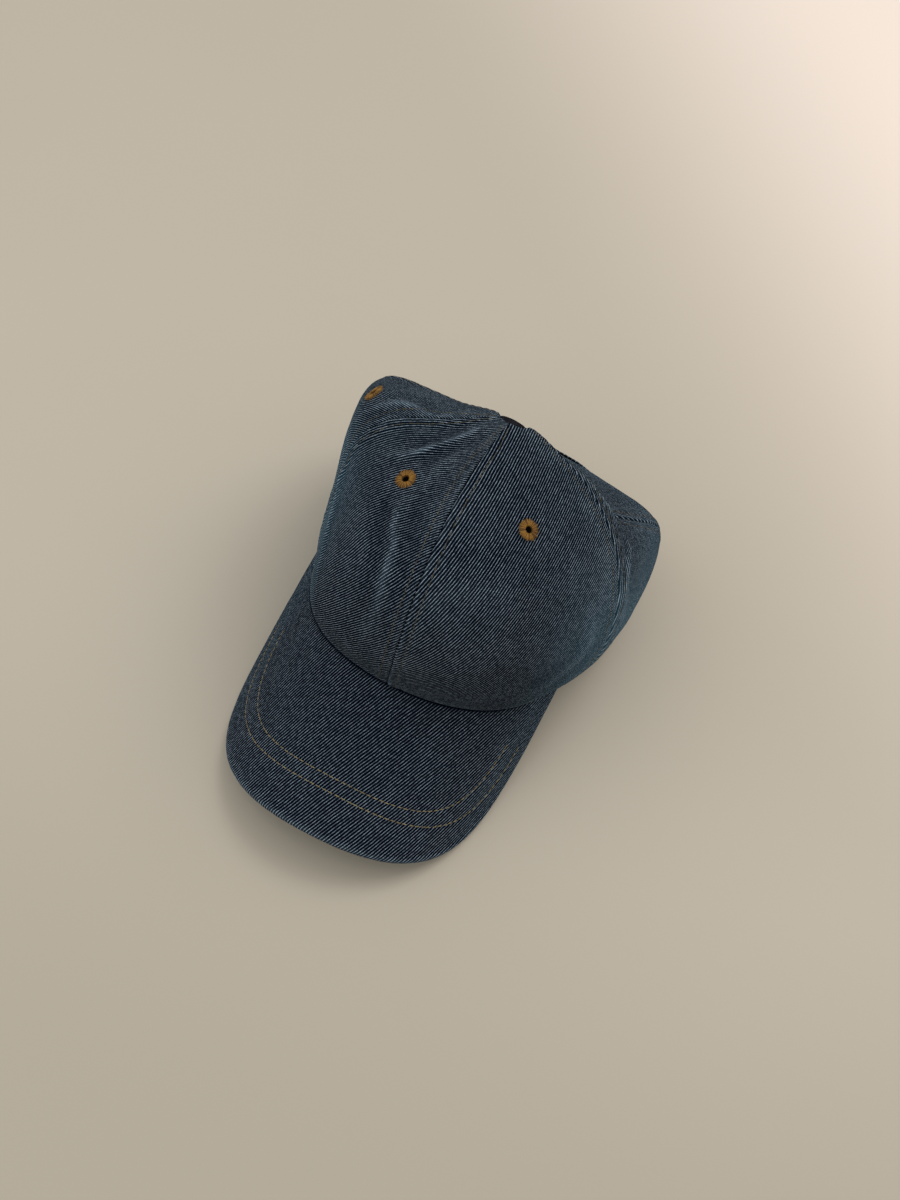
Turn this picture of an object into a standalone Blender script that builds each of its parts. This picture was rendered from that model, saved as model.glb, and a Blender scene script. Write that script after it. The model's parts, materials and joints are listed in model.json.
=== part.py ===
"""Six-panel denim baseball cap with a pre-curved brim and an adjustable back strap.

Frame: metres, +Z up, the brim points along -Y, and the cap stands on Z = 0 on its rear
rim and on the two lowest points of its brim. The crown is one continuous form, cut into
six panels that keep a hairline gap along their seams. The form is given by the rim line
and, for twelve lines that run from the rim to the top, by two handle points each.
"""

import math

import bmesh
import bpy
import numpy as np
from mathutils import Matrix, Vector

# ---------------------------------------------------------------- driving dimensions
GAP = 0.0003                 # hairline between pieces that touch
PLY_GAP = 0.0006             # between two plies of cloth, which follow the form in facets

# Brim: cut flat, then bent round a cylinder whose crest line droops to the front.
BRIM_LENGTH = 0.0755         # front edge to crown seam, along the crest
BRIM_HALF_WIDTH = 0.0855     # flat half width at the corners
BRIM_SEAM_RADIUS = 1.146 * BRIM_HALF_WIDTH   # arc of the inner edge, flat
BRIM_BEND_RADIUS = 0.0690
BRIM_DROOP = math.radians(20.6)
BRIM_CREST_HEIGHT = 0.0489   # crest at the crown seam, above the table
BRIM_EDGE_ROUND_SIDE = 2.25  # exponents of the front edge's rounded outline
BRIM_EDGE_ROUND_FRONT = 3.8
BRIM_BOARD = 0.0016
BRIM_CLOTH = 0.0008
BRIM_HEM = 0.0014            # how far the cloth runs past the board at the edge
BRIM_CORNER = 0.0040         # least depth of the brim at its rear corners
ALLOWANCE = 0.008            # the brim's cloth turned up inside the front panels

# Rim: brim arc in front, a half circle at the rear, and a smooth link between them.
REAR_RADIUS = 0.078
REAR_CENTRE = 0.110
FRONT_PANEL_WIDTH = 0.095    # one front panel, along the rim

# Crown
PANEL = 0.0011               # cloth of one panel
TOP = Vector((0.0000, 0.0994, 0.1287))
TOP_HOLE = 0.0032            # the panels stop this far from the very top
CROWN_FORM = {               # angle from the front: wall handle and shoulder handle
    0: ((0.008, -0.031, 0.112), (-0.007, 0.029, 0.161)),
    30: ((0.058, -0.014, 0.100), (0.033, 0.052, 0.158)),
    60: ((0.096, 0.044, 0.074), (0.076, 0.085, 0.141)),
    90: ((0.087, 0.099, 0.062), (0.093, 0.091, 0.102)),
    120: ((0.085, 0.179, 0.082), (0.068, 0.082, 0.068)),
    150: ((0.043, 0.185, 0.059), (0.034, 0.107, 0.073)),
    180: ((0.000, 0.187, 0.054), (-0.004, 0.109, 0.077)),
    210: ((-0.042, 0.183, 0.062), (-0.042, 0.108, 0.088)),
    240: ((-0.080, 0.156, 0.079), (-0.080, 0.101, 0.114)),
    270: ((-0.066, 0.099, 0.096), (-0.092, 0.075, 0.142)),
    300: ((-0.060, 0.045, 0.094), (-0.067, 0.053, 0.149)),
    330: ((-0.033, -0.011, 0.108), (-0.037, 0.037, 0.153)),
}
PANEL_NAMES = ("front_right", "side_right", "back_right", "back_left", "side_left", "front_left")
SEAM_NAMES = ("front", "front_right", "back_right", "back", "back_left", "front_left")

# Eyelets
EYELETS_FROM_TOP = (0.0615, 0.063, 0.063, 0.063, 0.067, 0.063)   # in the order of the panels
EYELET_RADIUS = 0.0050
EYELET_BORE = 0.00135
EYELET_NECK = 0.0019
EYELET_FLANGE = 0.0006

# Seam tapes and sweatband
TAPE_WIDTH = 0.011
TAPE = 0.0006
TAPE_START = 0.024           # from the rim, behind the top of the sweatband
BACK_TAPE_START = 0.062      # above the back opening
TAPE_END = 0.0125            # short of the top, clear of the button's rivet plate
SWEATBAND = 0.0011
SWEATBAND_HEIGHT = 0.032
SWEATBAND_FOOT = 0.0009      # the turned-out lower edge starts this far above the rim
SWEATBAND_INSET = PANEL + PLY_GAP + GAP + BRIM_CLOTH + PLY_GAP

# Covered button
BUTTON_RADIUS = 0.0065
BUTTON_HEIGHT = 0.0025
BUTTON_STUD = 0.0013
RIVET_RADIUS = 0.0048
RIVET_PLATE = 0.0009

# Back opening and its binding
ARCH_HALF_WIDTH = 0.035
ARCH_HEIGHT = 0.042
BINDING = 0.0006
BINDING_LEG = 0.0055

# Strap, carried on arcs about the vertical line through the rear centre
STRAP = 0.0014
STRAP_LOW = 0.0035
STRAP_HIGH = 0.0225
STRAP_HALF_ANGLE = 48.0      # degrees each side of the back centre line
STRAP_TRAVEL = 18.0          # degrees drawn either way
POCKET_GAP = 0.0007

# Flip clasp
CLASP_ANGLE = -8.5           # centre, degrees round from the back centre line
CLASP_HALF_ANGLE = 8.2
CLASP_PLATE = 0.0010
CLASP_EAR = 0.0010
CLASP_CLEARANCE = 0.0007     # strap edge to ear
PIN_RADIUS = 0.0008
PIN_HEAD = 0.0015
BARREL = 0.0011              # wall of the lever's barrel
LEVER = 0.0010
TAB = 0.0008
TAB_END_ANGLE = -42.0
TAB_LEAVES_PANEL = -26.0

COLOURS = {
    "denim": ((0.045, 0.060, 0.085), 0.92, 0.0),
    "lining": ((0.035, 0.040, 0.055), 0.90, 0.0),
    "thread": ((0.45, 0.24, 0.05), 0.75, 0.0),
    "board": ((0.70, 0.68, 0.62), 0.60, 0.0),
    "button": ((0.030, 0.028, 0.032), 0.85, 0.0),
    "brass": ((0.36, 0.25, 0.12), 0.38, 1.0),
}


# ---------------------------------------------------------------- the crown's form
def bent(across, along, lift=0.0):
    """Points of the bent brim: 'across' and 'along' are flat measures, lift is upward."""
    across = np.asarray(across, float)
    along = np.asarray(along, float)
    turn = across / BRIM_BEND_RADIUS
    radius = BRIM_BEND_RADIUS + lift
    side = radius * np.sin(turn)
    fall = BRIM_BEND_RADIUS - radius * np.cos(turn)
    cos, sin = math.cos(BRIM_DROOP), math.sin(BRIM_DROOP)
    y = -along * cos + fall * sin
    z = BRIM_CREST_HEIGHT - along * sin - fall * cos
    return np.stack([side, y, z], -1)


def seam_set_back(across):
    """How far the brim's inner edge lies behind its front centre, flat."""
    return BRIM_SEAM_RADIUS - np.sqrt(BRIM_SEAM_RADIUS**2 - np.asarray(across, float) ** 2)


def front_edge(across):
    """How far the brim's outer edge lies in front of the crown seam, flat."""
    share = np.clip(np.abs(across) / BRIM_HALF_WIDTH, 0, 1)
    depth = BRIM_LENGTH + seam_set_back(BRIM_HALF_WIDTH)
    drop = 1 - (1 - share**BRIM_EDGE_ROUND_SIDE) ** (1 / BRIM_EDGE_ROUND_FRONT)
    return BRIM_LENGTH - depth * drop


BRIM_SEAM_HALF = BRIM_SEAM_RADIUS * math.asin(BRIM_HALF_WIDTH / BRIM_SEAM_RADIUS)


def brim_seam(arc):
    """The brim's inner edge, under its board, at a distance from its front centre."""
    turn = np.asarray(arc, float) / BRIM_SEAM_RADIUS
    along = -BRIM_SEAM_RADIUS * (1 - np.cos(turn))
    return bent(BRIM_SEAM_RADIUS * np.sin(turn), along, -BRIM_BOARD / 2)


def bezier(p0, p1, p2, p3, t):
    """A cubic Bezier; the points may be rows of points, one for each t."""
    t = np.asarray(t, float)[..., None]
    s = 1 - t
    return s**3 * p0 + 3 * s * s * t * p1 + 3 * s * t * t * p2 + t**3 * p3


def rim_link():
    """The four handles of the curve from the brim's corner to the rear half circle."""
    step = 1e-6
    ends = brim_seam([BRIM_SEAM_HALF - step, BRIM_SEAM_HALF])
    start = ends[1]
    heading = (ends[1] - ends[0]) / step
    end = np.array([REAR_RADIUS, REAR_CENTRE, 0.0])
    length = np.linalg.norm(end - start)
    return start, start + 0.36 * length * heading, end - [0, 0.40 * length, 0], end


LINK_HANDLES = rim_link()
LINK_STEPS = np.linspace(0, 1, 101)
LINK_POINTS = bezier(*LINK_HANDLES, LINK_STEPS)
LINK_ARC = np.concatenate([[0], np.cumsum(np.linalg.norm(np.diff(LINK_POINTS, axis=0), axis=1))])
HALF_RIM = BRIM_SEAM_HALF + LINK_ARC[-1] + REAR_RADIUS * math.pi / 2


def rim(angle):
    """The rim line at an angle: 60 degrees to a panel, clockwise from the front seen from above."""
    signed = (np.asarray(angle, float) + 180) % 360 - 180
    turn = np.abs(signed)
    rear = FRONT_PANEL_WIDTH + (turn - 60) / 120 * (HALF_RIM - FRONT_PANEL_WIDTH)
    arc = np.where(turn <= 60, turn / 60 * FRONT_PANEL_WIDTH, rear)
    on_brim = brim_seam(np.minimum(arc, BRIM_SEAM_HALF))
    link_arc = np.clip(arc - BRIM_SEAM_HALF, 0, LINK_ARC[-1])
    on_link = bezier(*LINK_HANDLES, np.interp(link_arc, LINK_ARC, LINK_STEPS))
    sweep = np.maximum(arc - BRIM_SEAM_HALF - LINK_ARC[-1], 0) / REAR_RADIUS
    x = REAR_RADIUS * np.cos(sweep)
    y = REAR_CENTRE + REAR_RADIUS * np.sin(sweep)
    on_circle = np.stack([x, y, np.zeros_like(x)], -1)
    point = np.where((arc <= BRIM_SEAM_HALF)[..., None], on_brim, on_link)
    point = np.where((sweep > 0)[..., None], on_circle, point)
    point[..., 0] *= np.where(signed < 0, -1, 1)
    return point


def round_the_crown(handles, angle):
    """A smooth closed curve through the handles, which are evenly spaced in angle."""
    count = len(handles)
    place = (np.asarray(angle, float) % 360) / (360 / count)
    index = np.floor(place).astype(int) % count
    f = (place - np.floor(place))[..., None]
    before, here = handles[(index - 1) % count], handles[index]
    there, after = handles[(index + 1) % count], handles[(index + 2) % count]
    bow = 2 * before - 5 * here + 4 * there - after
    twist = -before + 3 * here - 3 * there + after
    return 0.5 * (2 * here + (there - before) * f + bow * f**2 + twist * f**3)


WALL_HANDLES = np.array([pair[0] for pair in CROWN_FORM.values()])
SHOULDER_HANDLES = np.array([pair[1] for pair in CROWN_FORM.values()])


def crown(angle, t):
    """The crown's outer face: t runs from 0 at the rim to 1 at the top."""
    angle, t = np.broadcast_arrays(np.asarray(angle, float), np.asarray(t, float))
    wall = round_the_crown(WALL_HANDLES, angle)
    shoulder = round_the_crown(SHOULDER_HANDLES, angle)
    return bezier(rim(angle), wall, shoulder, np.array(TOP), t)


def crown_normal(angle, t):
    """The outward unit normal of the crown's outer face."""
    d_angle, d_t = 0.2, 0.002
    across = crown(angle + d_angle, t) - crown(angle - d_angle, t)
    up = crown(angle, np.minimum(t + d_t, 1 - d_t)) - crown(angle, np.minimum(t - d_t, 1 - 3 * d_t))
    normal = np.cross(across, up)
    return normal / np.linalg.norm(normal, axis=-1, keepdims=True)


def inside_crown(angle, t, depth):
    """The crown's face, moved inwards by depth."""
    return crown(angle, t) - crown_normal(angle, t) * np.asarray(depth)[..., None]


def line_arc(angle, steps=200):
    """The distance from the rim along one line of the crown, at evenly spaced t."""
    t = np.linspace(0, 1, steps + 1)
    lengths = np.linalg.norm(np.diff(crown(np.full(steps + 1, angle), t), axis=0), axis=1)
    return t, np.concatenate([[0], np.cumsum(lengths)])


def t_from_rim(angle, distance):
    """t at a distance from the rim along the line at this angle."""
    t, arc = line_arc(angle)
    return float(np.interp(distance, arc, t))


def t_from_top(angle, distance):
    """t at a distance from the top along the line at this angle."""
    t, arc = line_arc(angle)
    return float(np.interp(arc[-1] - distance, arc, t))


# ---------------------------------------------------------------- building blocks
def material(name):
    """The material of this name, made on its first use."""
    found = bpy.data.materials.get(name)
    if found:
        return found
    colour, roughness, metallic = COLOURS[name.split("__")[0]]
    made = bpy.data.materials.new(name)
    made.use_nodes = True
    shader = made.node_tree.nodes["Principled BSDF"]
    shader.inputs["Base Color"].default_value = (*colour, 1.0)
    shader.inputs["Roughness"].default_value = roughness
    shader.inputs["Metallic"].default_value = metallic
    made.diffuse_color = (*colour, 1.0)
    return made


def add_object(name, mesh_builder, finish, smooth=True):
    """A named object from a bmesh, with its own material slot."""
    mesh = bpy.data.meshes.new(name)
    mesh_builder.to_mesh(mesh)
    mesh_builder.free()
    obj = bpy.data.objects.new(name, mesh)
    bpy.context.scene.collection.objects.link(obj)
    mesh.materials.append(material(f"{finish}__{name}"))
    if smooth:
        mesh.shade_smooth()
        mesh.set_sharp_from_angle(angle=math.radians(40))
    return obj


def sheet(name, points, thickness, finish):
    """A closed sheet: points is a grid whose faces look outwards, and the cloth lies inside it."""
    rows, columns = points.shape[:2]
    bm = bmesh.new()
    bmesh.ops.create_grid(bm, x_segments=columns - 1, y_segments=rows - 1, size=1)
    bm.verts.ensure_lookup_table()
    for index, vertex in enumerate(bm.verts):
        vertex.co = points[index // columns, index % columns]
    obj = add_object(name, bm, finish)
    wall = obj.modifiers.new("cloth", "SOLIDIFY")
    wall.thickness = thickness
    wall.offset = -1
    wall.use_even_offset = True
    return obj


def shell(name, outer, inner, finish):
    """A closed shell between two grids of points; the outer grid's faces look outwards."""
    rows, columns = outer.shape[:2]
    bm = bmesh.new()
    bmesh.ops.create_grid(bm, x_segments=columns - 1, y_segments=rows - 1, size=1)
    bm.verts.ensure_lookup_table()
    spot = bm.verts.layers.int.new("spot")
    for index, vertex in enumerate(bm.verts):
        vertex[spot] = index
        vertex.co = inner[index // columns, index % columns]
    grown = bmesh.ops.extrude_face_region(bm, geom=list(bm.faces), use_keep_orig=True)
    for item in grown["geom"]:
        if isinstance(item, bmesh.types.BMVert):
            item.co = outer[item[spot] // columns, item[spot] % columns]
    bmesh.ops.recalc_face_normals(bm, faces=bm.faces)
    return add_object(name, bm, finish)


def turned(name, profile, finish, place=None, steps=24, closed=False, settle=None):
    """A turned piece: profile is (radius, height) pairs that run up round the Z axis.

    settle gives the height to add at a place (x, y) of the piece, before it is placed.
    """
    bm = bmesh.new()
    ring = [bm.verts.new((radius, 0, height)) for radius, height in profile]
    pairs = list(zip(ring, ring[1:]))
    if closed:
        pairs.append((ring[-1], ring[0]))
    edges = [bm.edges.new(pair) for pair in pairs]
    bmesh.ops.spin(bm, geom=ring + edges, axis=(0, 0, 1), cent=(0, 0, 0),
                   angle=math.tau, steps=steps, use_merge=True)
    bmesh.ops.remove_doubles(bm, verts=bm.verts, dist=1e-6)
    bmesh.ops.recalc_face_normals(bm, faces=bm.faces)
    if settle:
        for vertex in bm.verts:
            vertex.co.z += settle(vertex.co.x, vertex.co.y)
    bm.transform(place or Matrix())
    return add_object(name, bm, finish)


def cutter(obj):
    """Marks a helper that only shapes other pieces."""
    obj.hide_render = True
    obj.display_type = "WIRE"
    return obj


def boolean(obj, other, operation):
    """A live Boolean with the exact solver."""
    change = obj.modifiers.new(f"{operation.lower()} {other.name}", "BOOLEAN")
    change.operation = operation
    change.object = cutter(other)
    change.solver = "EXACT"


def upright(point, direction):
    """A placement whose Z axis looks along a direction."""
    turn = Vector(direction).to_track_quat("Z", "Y").to_matrix().to_4x4()
    return Matrix.Translation(Vector(point)) @ turn


# ---------------------------------------------------------------- crown
def panel_angles(first, last, t, share, margin):
    """Angles across a panel, held back from both seams by a margin in metres."""
    width = np.linalg.norm(crown(np.full_like(t, last), t) - crown(np.full_like(t, first), t), axis=-1)
    inset = np.minimum(margin / width, 0.45)
    return first + (last - first) * (inset + (1 - 2 * inset) * share)


def build_panels():
    """Six panels of cloth; each stops short of its seams by half a gap."""
    across, up = 11, 17
    panels = []
    for number, name in enumerate(PANEL_NAMES):
        first, last = 60.0 * number, 60.0 * (number + 1)
        middle = (first + last) / 2
        end = t_from_top(middle, TOP_HOLE)
        t, share = np.meshgrid(np.linspace(0, end, up), np.linspace(0, 1, across), indexing="ij")
        angle = panel_angles(first, last, t, share, GAP / 2)
        inner = inside_crown(angle, t, np.full(t.shape, PANEL))
        on_table = crown(angle[0], t[0])[:, 2] < GAP
        inner[0, on_table, 2] = 0.0
        panel = shell(f"panel_{name}", crown(angle, t), inner, "denim")
        panels.append(panel)
        build_eyelet(panel, name, middle)
    return panels


def crown_settling(angle, t, place):
    """The crown's height over a flat place on it, as a function of two measures along that place."""
    angles, ts = np.meshgrid(angle + np.linspace(-4, 4, 7), t + np.linspace(-0.03, 0.03, 7))
    around = crown(angles, ts).reshape(-1, 3)
    inverse = np.array(place.inverted())
    x, y, z = (around @ inverse[:3, :3].T + inverse[:3, 3]).T
    near = np.hypot(x, y) < 1.4 * EYELET_RADIUS
    x, y, z = x[near], y[near], z[near]
    terms = np.stack([np.ones_like(x), x, y, x * x, x * y, y * y], -1)
    fit = np.linalg.lstsq(terms, z, rcond=None)[0]

    def height(x, y):
        return float(fit @ [1, x, y, x * x, x * y, y * y])

    return height


def build_eyelet(panel, name, middle):
    """A stitched ventilation eyelet through the middle line of a panel."""
    t = t_from_top(middle, EYELETS_FROM_TOP[PANEL_NAMES.index(name)])
    place = upright(crown(middle, t), crown_normal(middle, t))
    hole_bm = bmesh.new()
    bmesh.ops.create_cone(hole_bm, cap_ends=True, segments=16, radius1=EYELET_NECK + GAP,
                          radius2=EYELET_NECK + GAP, depth=8 * PANEL, matrix=place)
    hole = add_object(f"eyelet_cutter_{name}", hole_bm, "thread")
    boolean(panel, hole, "DIFFERENCE")
    low, high = -PANEL - GAP, GAP
    profile = (
        (EYELET_BORE, low - EYELET_FLANGE / 2),
        (EYELET_RADIUS * 0.6, low - EYELET_FLANGE),
        (EYELET_RADIUS, low - EYELET_FLANGE / 3),
        (EYELET_NECK, low),
        (EYELET_NECK, high),
        (EYELET_RADIUS, high + EYELET_FLANGE / 3),
        (EYELET_RADIUS * 0.6, high + EYELET_FLANGE),
        (EYELET_BORE, high + EYELET_FLANGE / 2),
    )
    turned(f"eyelet_{name}", profile, "thread", place, steps=16, closed=True,
           settle=crown_settling(middle, t, place))


def build_seam_tapes():
    """Six tapes that cover the seams inside, from behind the sweatband to near the top."""
    steps = 15
    for number, name in enumerate(SEAM_NAMES):
        seam = 60.0 * number
        start = t_from_rim(seam, BACK_TAPE_START if name == "back" else TAPE_START)
        end = t_from_top(seam, TAPE_END)
        t = np.linspace(start, end, steps)[:, None] * np.ones(5)
        span = np.linalg.norm(crown(seam + 5.0, t) - crown(seam - 5.0, t), axis=-1)
        angle = seam + np.linspace(-0.5, 0.5, 5) * TAPE_WIDTH / span * 10.0
        outer = inside_crown(angle, t, np.full(t.shape, PANEL + PLY_GAP))
        inner = inside_crown(angle, t, np.full(t.shape, PANEL + PLY_GAP + TAPE))
        shell(f"seam_tape_{name}", outer, inner, "lining")


def top_directions():
    """The button's axis and the reach of the crown's faces along it near the top."""
    angle, t = np.meshgrid(np.arange(0, 360, 10.0), [0.90, 0.93, 0.96, 0.98, 0.995], indexing="ij")
    normals = crown_normal(angle, t)
    axis = normals.reshape(-1, 3).mean(0)
    axis /= np.linalg.norm(axis)
    outer = (crown(angle, t) - np.array(TOP)).reshape(-1, 3)
    inner = outer - normals.reshape(-1, 3) * PANEL
    return axis, outer, inner


def build_button():
    """The covered button on top, its stud, and the rivet plate that holds it from inside."""
    axis, outer, inner = top_directions()

    def heights(points, radius):
        along = points @ axis
        off_axis = np.linalg.norm(points - along[:, None] * axis, axis=1)
        return along[off_axis < radius]

    base = heights(outer, BUTTON_RADIUS + GAP).max() + GAP
    plate = heights(inner, RIVET_RADIUS + GAP).min() - GAP
    arc = np.linspace(0, math.pi / 2, 7)
    rounded = [(BUTTON_RADIUS * math.cos(a), base + 0.0008 + (BUTTON_HEIGHT - 0.0008) * math.sin(a))
               for a in arc[:-1]]
    stud_end = plate - RIVET_PLATE / 2
    profile = [(0, stud_end), (BUTTON_STUD, stud_end), (BUTTON_STUD, base),
               (BUTTON_RADIUS * 0.93, base), *rounded, (0, base + BUTTON_HEIGHT)]
    turned("crown_button", profile, "button", upright(TOP, axis))
    bore = BUTTON_STUD + GAP
    rivet = ((bore, plate - RIVET_PLATE), (RIVET_RADIUS, plate - RIVET_PLATE),
             (RIVET_RADIUS, plate), (bore, plate))
    turned("button_rivet_plate", rivet, "brass", upright(TOP, axis), closed=True)


# ---------------------------------------------------------------- brim
def brim_rows(margin, lift, across, along):
    """Rows on the bent brim from its front edge back to the crown seam."""
    half = BRIM_HALF_WIDTH - margin
    side = half * np.sin(np.linspace(-math.pi / 2, math.pi / 2, across))
    near = GAP + margin - seam_set_back(side)
    far = front_edge(side * BRIM_HALF_WIDTH / half) - margin
    far = np.maximum(far, near + BRIM_CORNER)
    share = np.linspace(1, 0, along)[:, None]
    return side, bent(np.broadcast_to(side, (along, across)), near + (far - near) * share, lift)


def build_brim():
    """The stiff board and the two cloths that close round it at the edge."""
    across, along = 29, 9
    half_board = BRIM_BOARD / 2
    _, board = brim_rows(BRIM_HEM, half_board, across, along)
    sheet("brim_board", board, BRIM_BOARD, "board")
    _, top = brim_rows(0.0, half_board + GAP + BRIM_CLOTH, across, along)
    _, top_lip = brim_rows(0.0, GAP / 2, across, 2)
    sheet("brim_top_cloth", np.concatenate([top_lip[:1], top]), BRIM_CLOTH, "denim")
    side, under = brim_rows(0.0, -half_board - PLY_GAP - BRIM_CLOTH, across, along)
    _, under_lip = brim_rows(0.0, -GAP / 2, across, 2)
    turned_up = seam_allowance(side)
    rows = np.concatenate([under_lip[:1], under[:-1], turned_up])
    sheet("brim_under_cloth", rows[:, ::-1], BRIM_CLOTH, "denim")


def seam_allowance(side):
    """Rows that pass under the crown's lower edge and stand up inside the front panels."""
    arc = BRIM_SEAM_RADIUS * np.arcsin(side / BRIM_SEAM_RADIUS)
    beyond = (np.abs(arc) - FRONT_PANEL_WIDTH) / (HALF_RIM - FRONT_PANEL_WIDTH) * 120
    angle = np.where(beyond > 0, 60 + beyond, np.abs(arc) / FRONT_PANEL_WIDTH * 60) * np.sign(arc)
    depth = np.full(angle.shape, PANEL + PLY_GAP + GAP + BRIM_CLOTH)
    line = crown(angle, 0.02) - rim(angle)
    line /= np.linalg.norm(line, axis=-1, keepdims=True)
    under = (PLY_GAP + BRIM_CLOTH) * np.cos(side / BRIM_BEND_RADIUS) ** 2
    rows = [inside_crown(angle, np.zeros(angle.shape), depth) - under[:, None] * line]
    for rise in (ALLOWANCE / 2, ALLOWANCE):
        t = np.array([t_from_rim(a, rise) for a in angle])
        rows.append(inside_crown(angle, t, depth))
    return np.array(rows)


# ---------------------------------------------------------------- rear: strap, opening, clasp
def rear_angle(turn):
    """The crown angle that lies 'turn' degrees round the rear half circle from its middle."""
    per_metre = 120 / (HALF_RIM - FRONT_PANEL_WIDTH)
    return 180 - np.radians(turn) * REAR_RADIUS * per_metre


def crown_at_height(angle, height):
    """The t at which the crown's line at this angle is at a height above the table."""
    t = np.linspace(0, 0.5, 101)
    return float(np.interp(height, crown(np.full(t.shape, angle), t)[:, 2], t))


def rear_radius(height):
    """The smallest reach of the crown's face from the rear centre over the strap's travel."""
    reach = STRAP_HALF_ANGLE + STRAP_TRAVEL
    least = math.inf
    opening = math.degrees(math.asin(ARCH_HALF_WIDTH / REAR_RADIUS))
    for turn in np.linspace(opening, reach, 9):
        for side in (turn, -turn):
            angle = rear_angle(side)
            point = crown(angle, crown_at_height(angle, height))
            least = min(least, math.hypot(point[0], point[1] - REAR_CENTRE))
    return least


STRAP_MIDDLE = (STRAP_LOW + STRAP_HIGH) / 2
POCKET_DEPTH = PANEL + PLY_GAP + BINDING + POCKET_GAP
STRAP_RADIUS_LOW = rear_radius(STRAP_LOW) - POCKET_DEPTH
STRAP_RADIUS_HIGH = rear_radius(STRAP_HIGH) - POCKET_DEPTH
STRAP_LEAN = (STRAP_RADIUS_LOW - STRAP_RADIUS_HIGH) / (STRAP_HIGH - STRAP_LOW)
STRAP_RADIUS = (STRAP_RADIUS_LOW + STRAP_RADIUS_HIGH) / 2


def strap_frame(turn):
    """Unit vectors at an angle round the rear: along the strap, up its face, and outwards."""
    turn = np.radians(np.asarray(turn, float))
    zero = np.zeros_like(turn)
    outward = np.stack([np.sin(turn), np.cos(turn), zero], -1)
    along = np.stack([np.cos(turn), -np.sin(turn), zero], -1)
    slant = math.hypot(1.0, STRAP_LEAN)
    up = (np.array([0, 0, 1.0]) - STRAP_LEAN * outward) / slant
    face = (outward + np.array([0, 0, STRAP_LEAN])) / slant
    return along, up, face


def on_strap(turn, rise, off):
    """A point off the strap's outer face: turn in degrees, rise up its slope from its middle line."""
    turn, rise, off = np.broadcast_arrays(turn, rise, off)
    radians = np.radians(turn)
    middle = np.stack([STRAP_RADIUS * np.sin(radians), REAR_CENTRE + STRAP_RADIUS * np.cos(radians),
                       np.full(radians.shape, STRAP_MIDDLE)], -1)
    _, up, face = strap_frame(turn)
    return middle + rise[..., None] * up + off[..., None] * face


def brim_end_angle():
    """The crown angle where the brim's seam ends."""
    return 60 + (BRIM_SEAM_HALF - FRONT_PANEL_WIDTH) / (HALF_RIM - FRONT_PANEL_WIDTH) * 120


def build_sweatband(start=33.5):
    """The inner band: an open ring that stands on a turned-out foot and backs the strap."""
    last = float(rear_angle(start))
    angle = np.linspace(-last, last, 61)
    rows = []
    blend = np.clip((np.abs(angle) - 96) / 22, 0, 1)
    blend = (blend * blend * (3 - 2 * blend))[:, None]
    front = np.clip((brim_end_angle() + 12 - np.abs(angle)) / 8, 0, 1)[:, None]
    turn = np.where(angle > 0, 1, -1) * np.degrees(
        (180 - np.abs(angle)) * (HALF_RIM - FRONT_PANEL_WIDTH) / 120 / REAR_RADIUS)
    seat = SWEATBAND_FOOT + SWEATBAND
    for rise in (seat, seat, 0.009, 0.016, 0.024, SWEATBAND_HEIGHT):
        t = np.array([t_from_rim(a, rise) for a in angle])
        depth = np.full(angle.shape, SWEATBAND_INSET)
        by_crown = inside_crown(angle, t, depth)
        slant = (rise - STRAP_MIDDLE) * math.hypot(1, STRAP_LEAN)
        by_strap = on_strap(turn, slant, -STRAP - POCKET_GAP)
        rows.append(by_crown + (by_strap - by_crown) * blend)
    out = inside_crown(angle, np.array([t_from_rim(a, seat) for a in angle]),
                       np.full(angle.shape, PANEL + PLY_GAP))
    t_low = np.array([t_from_rim(a, SWEATBAND_FOOT) for a in angle])
    straight = inside_crown(angle, t_low, np.full(angle.shape, SWEATBAND_INSET))
    rows[0] = out + (straight - out) * front
    sheet("sweatband", np.array(rows), SWEATBAND, "lining")


def arch_outline(margin=0.0, steps=17):
    """The back opening seen from behind, as (x, z) pairs from one foot over the top to the other."""
    half = ARCH_HALF_WIDTH - margin
    spring = ARCH_HEIGHT - ARCH_HALF_WIDTH
    turns = np.linspace(0, math.pi, steps)
    x = half * np.cos(turns)
    z = spring + half * np.sin(turns)
    return np.stack([x, z], -1)


def cut_back_opening(panels):
    """Cuts the arch out of both back panels."""
    bm = bmesh.new()
    outline = [(ARCH_HALF_WIDTH, -0.01), *map(tuple, arch_outline()), (-ARCH_HALF_WIDTH, -0.01)]
    loop = [bm.verts.new((x, REAR_CENTRE, z)) for x, z in outline]
    face = bm.faces.new(loop)
    grown = bmesh.ops.extrude_face_region(bm, geom=[face])
    moved = [item for item in grown["geom"] if isinstance(item, bmesh.types.BMVert)]
    bmesh.ops.translate(bm, verts=moved, vec=(0, 1.3 * REAR_RADIUS, 0))
    bmesh.ops.recalc_face_normals(bm, faces=bm.faces)
    arch = add_object("arch_cutter", bm, "denim", smooth=False)
    for panel in panels:
        if "back" in panel.name:
            boolean(panel, arch, "DIFFERENCE")


def rear_face(x, z):
    """The crown angle and t of the rear face at a place seen from behind."""
    angle = float(rear_angle(math.degrees(math.asin(max(-0.9, min(0.9, x / REAR_RADIUS))))))
    t = crown_at_height(angle, z)
    for _ in range(12):
        here = crown(angle, t)
        by_angle = (crown(angle + 0.1, t) - here) / 0.1
        by_t = (crown(angle, t + 1e-4) - here) / 1e-4
        system = np.array([[by_angle[0], by_t[0]], [by_angle[2], by_t[2]]])
        step = np.linalg.solve(system, [x - here[0], z - here[2]])
        angle, t = angle + step[0], t + step[1]
    return angle, t


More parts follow.
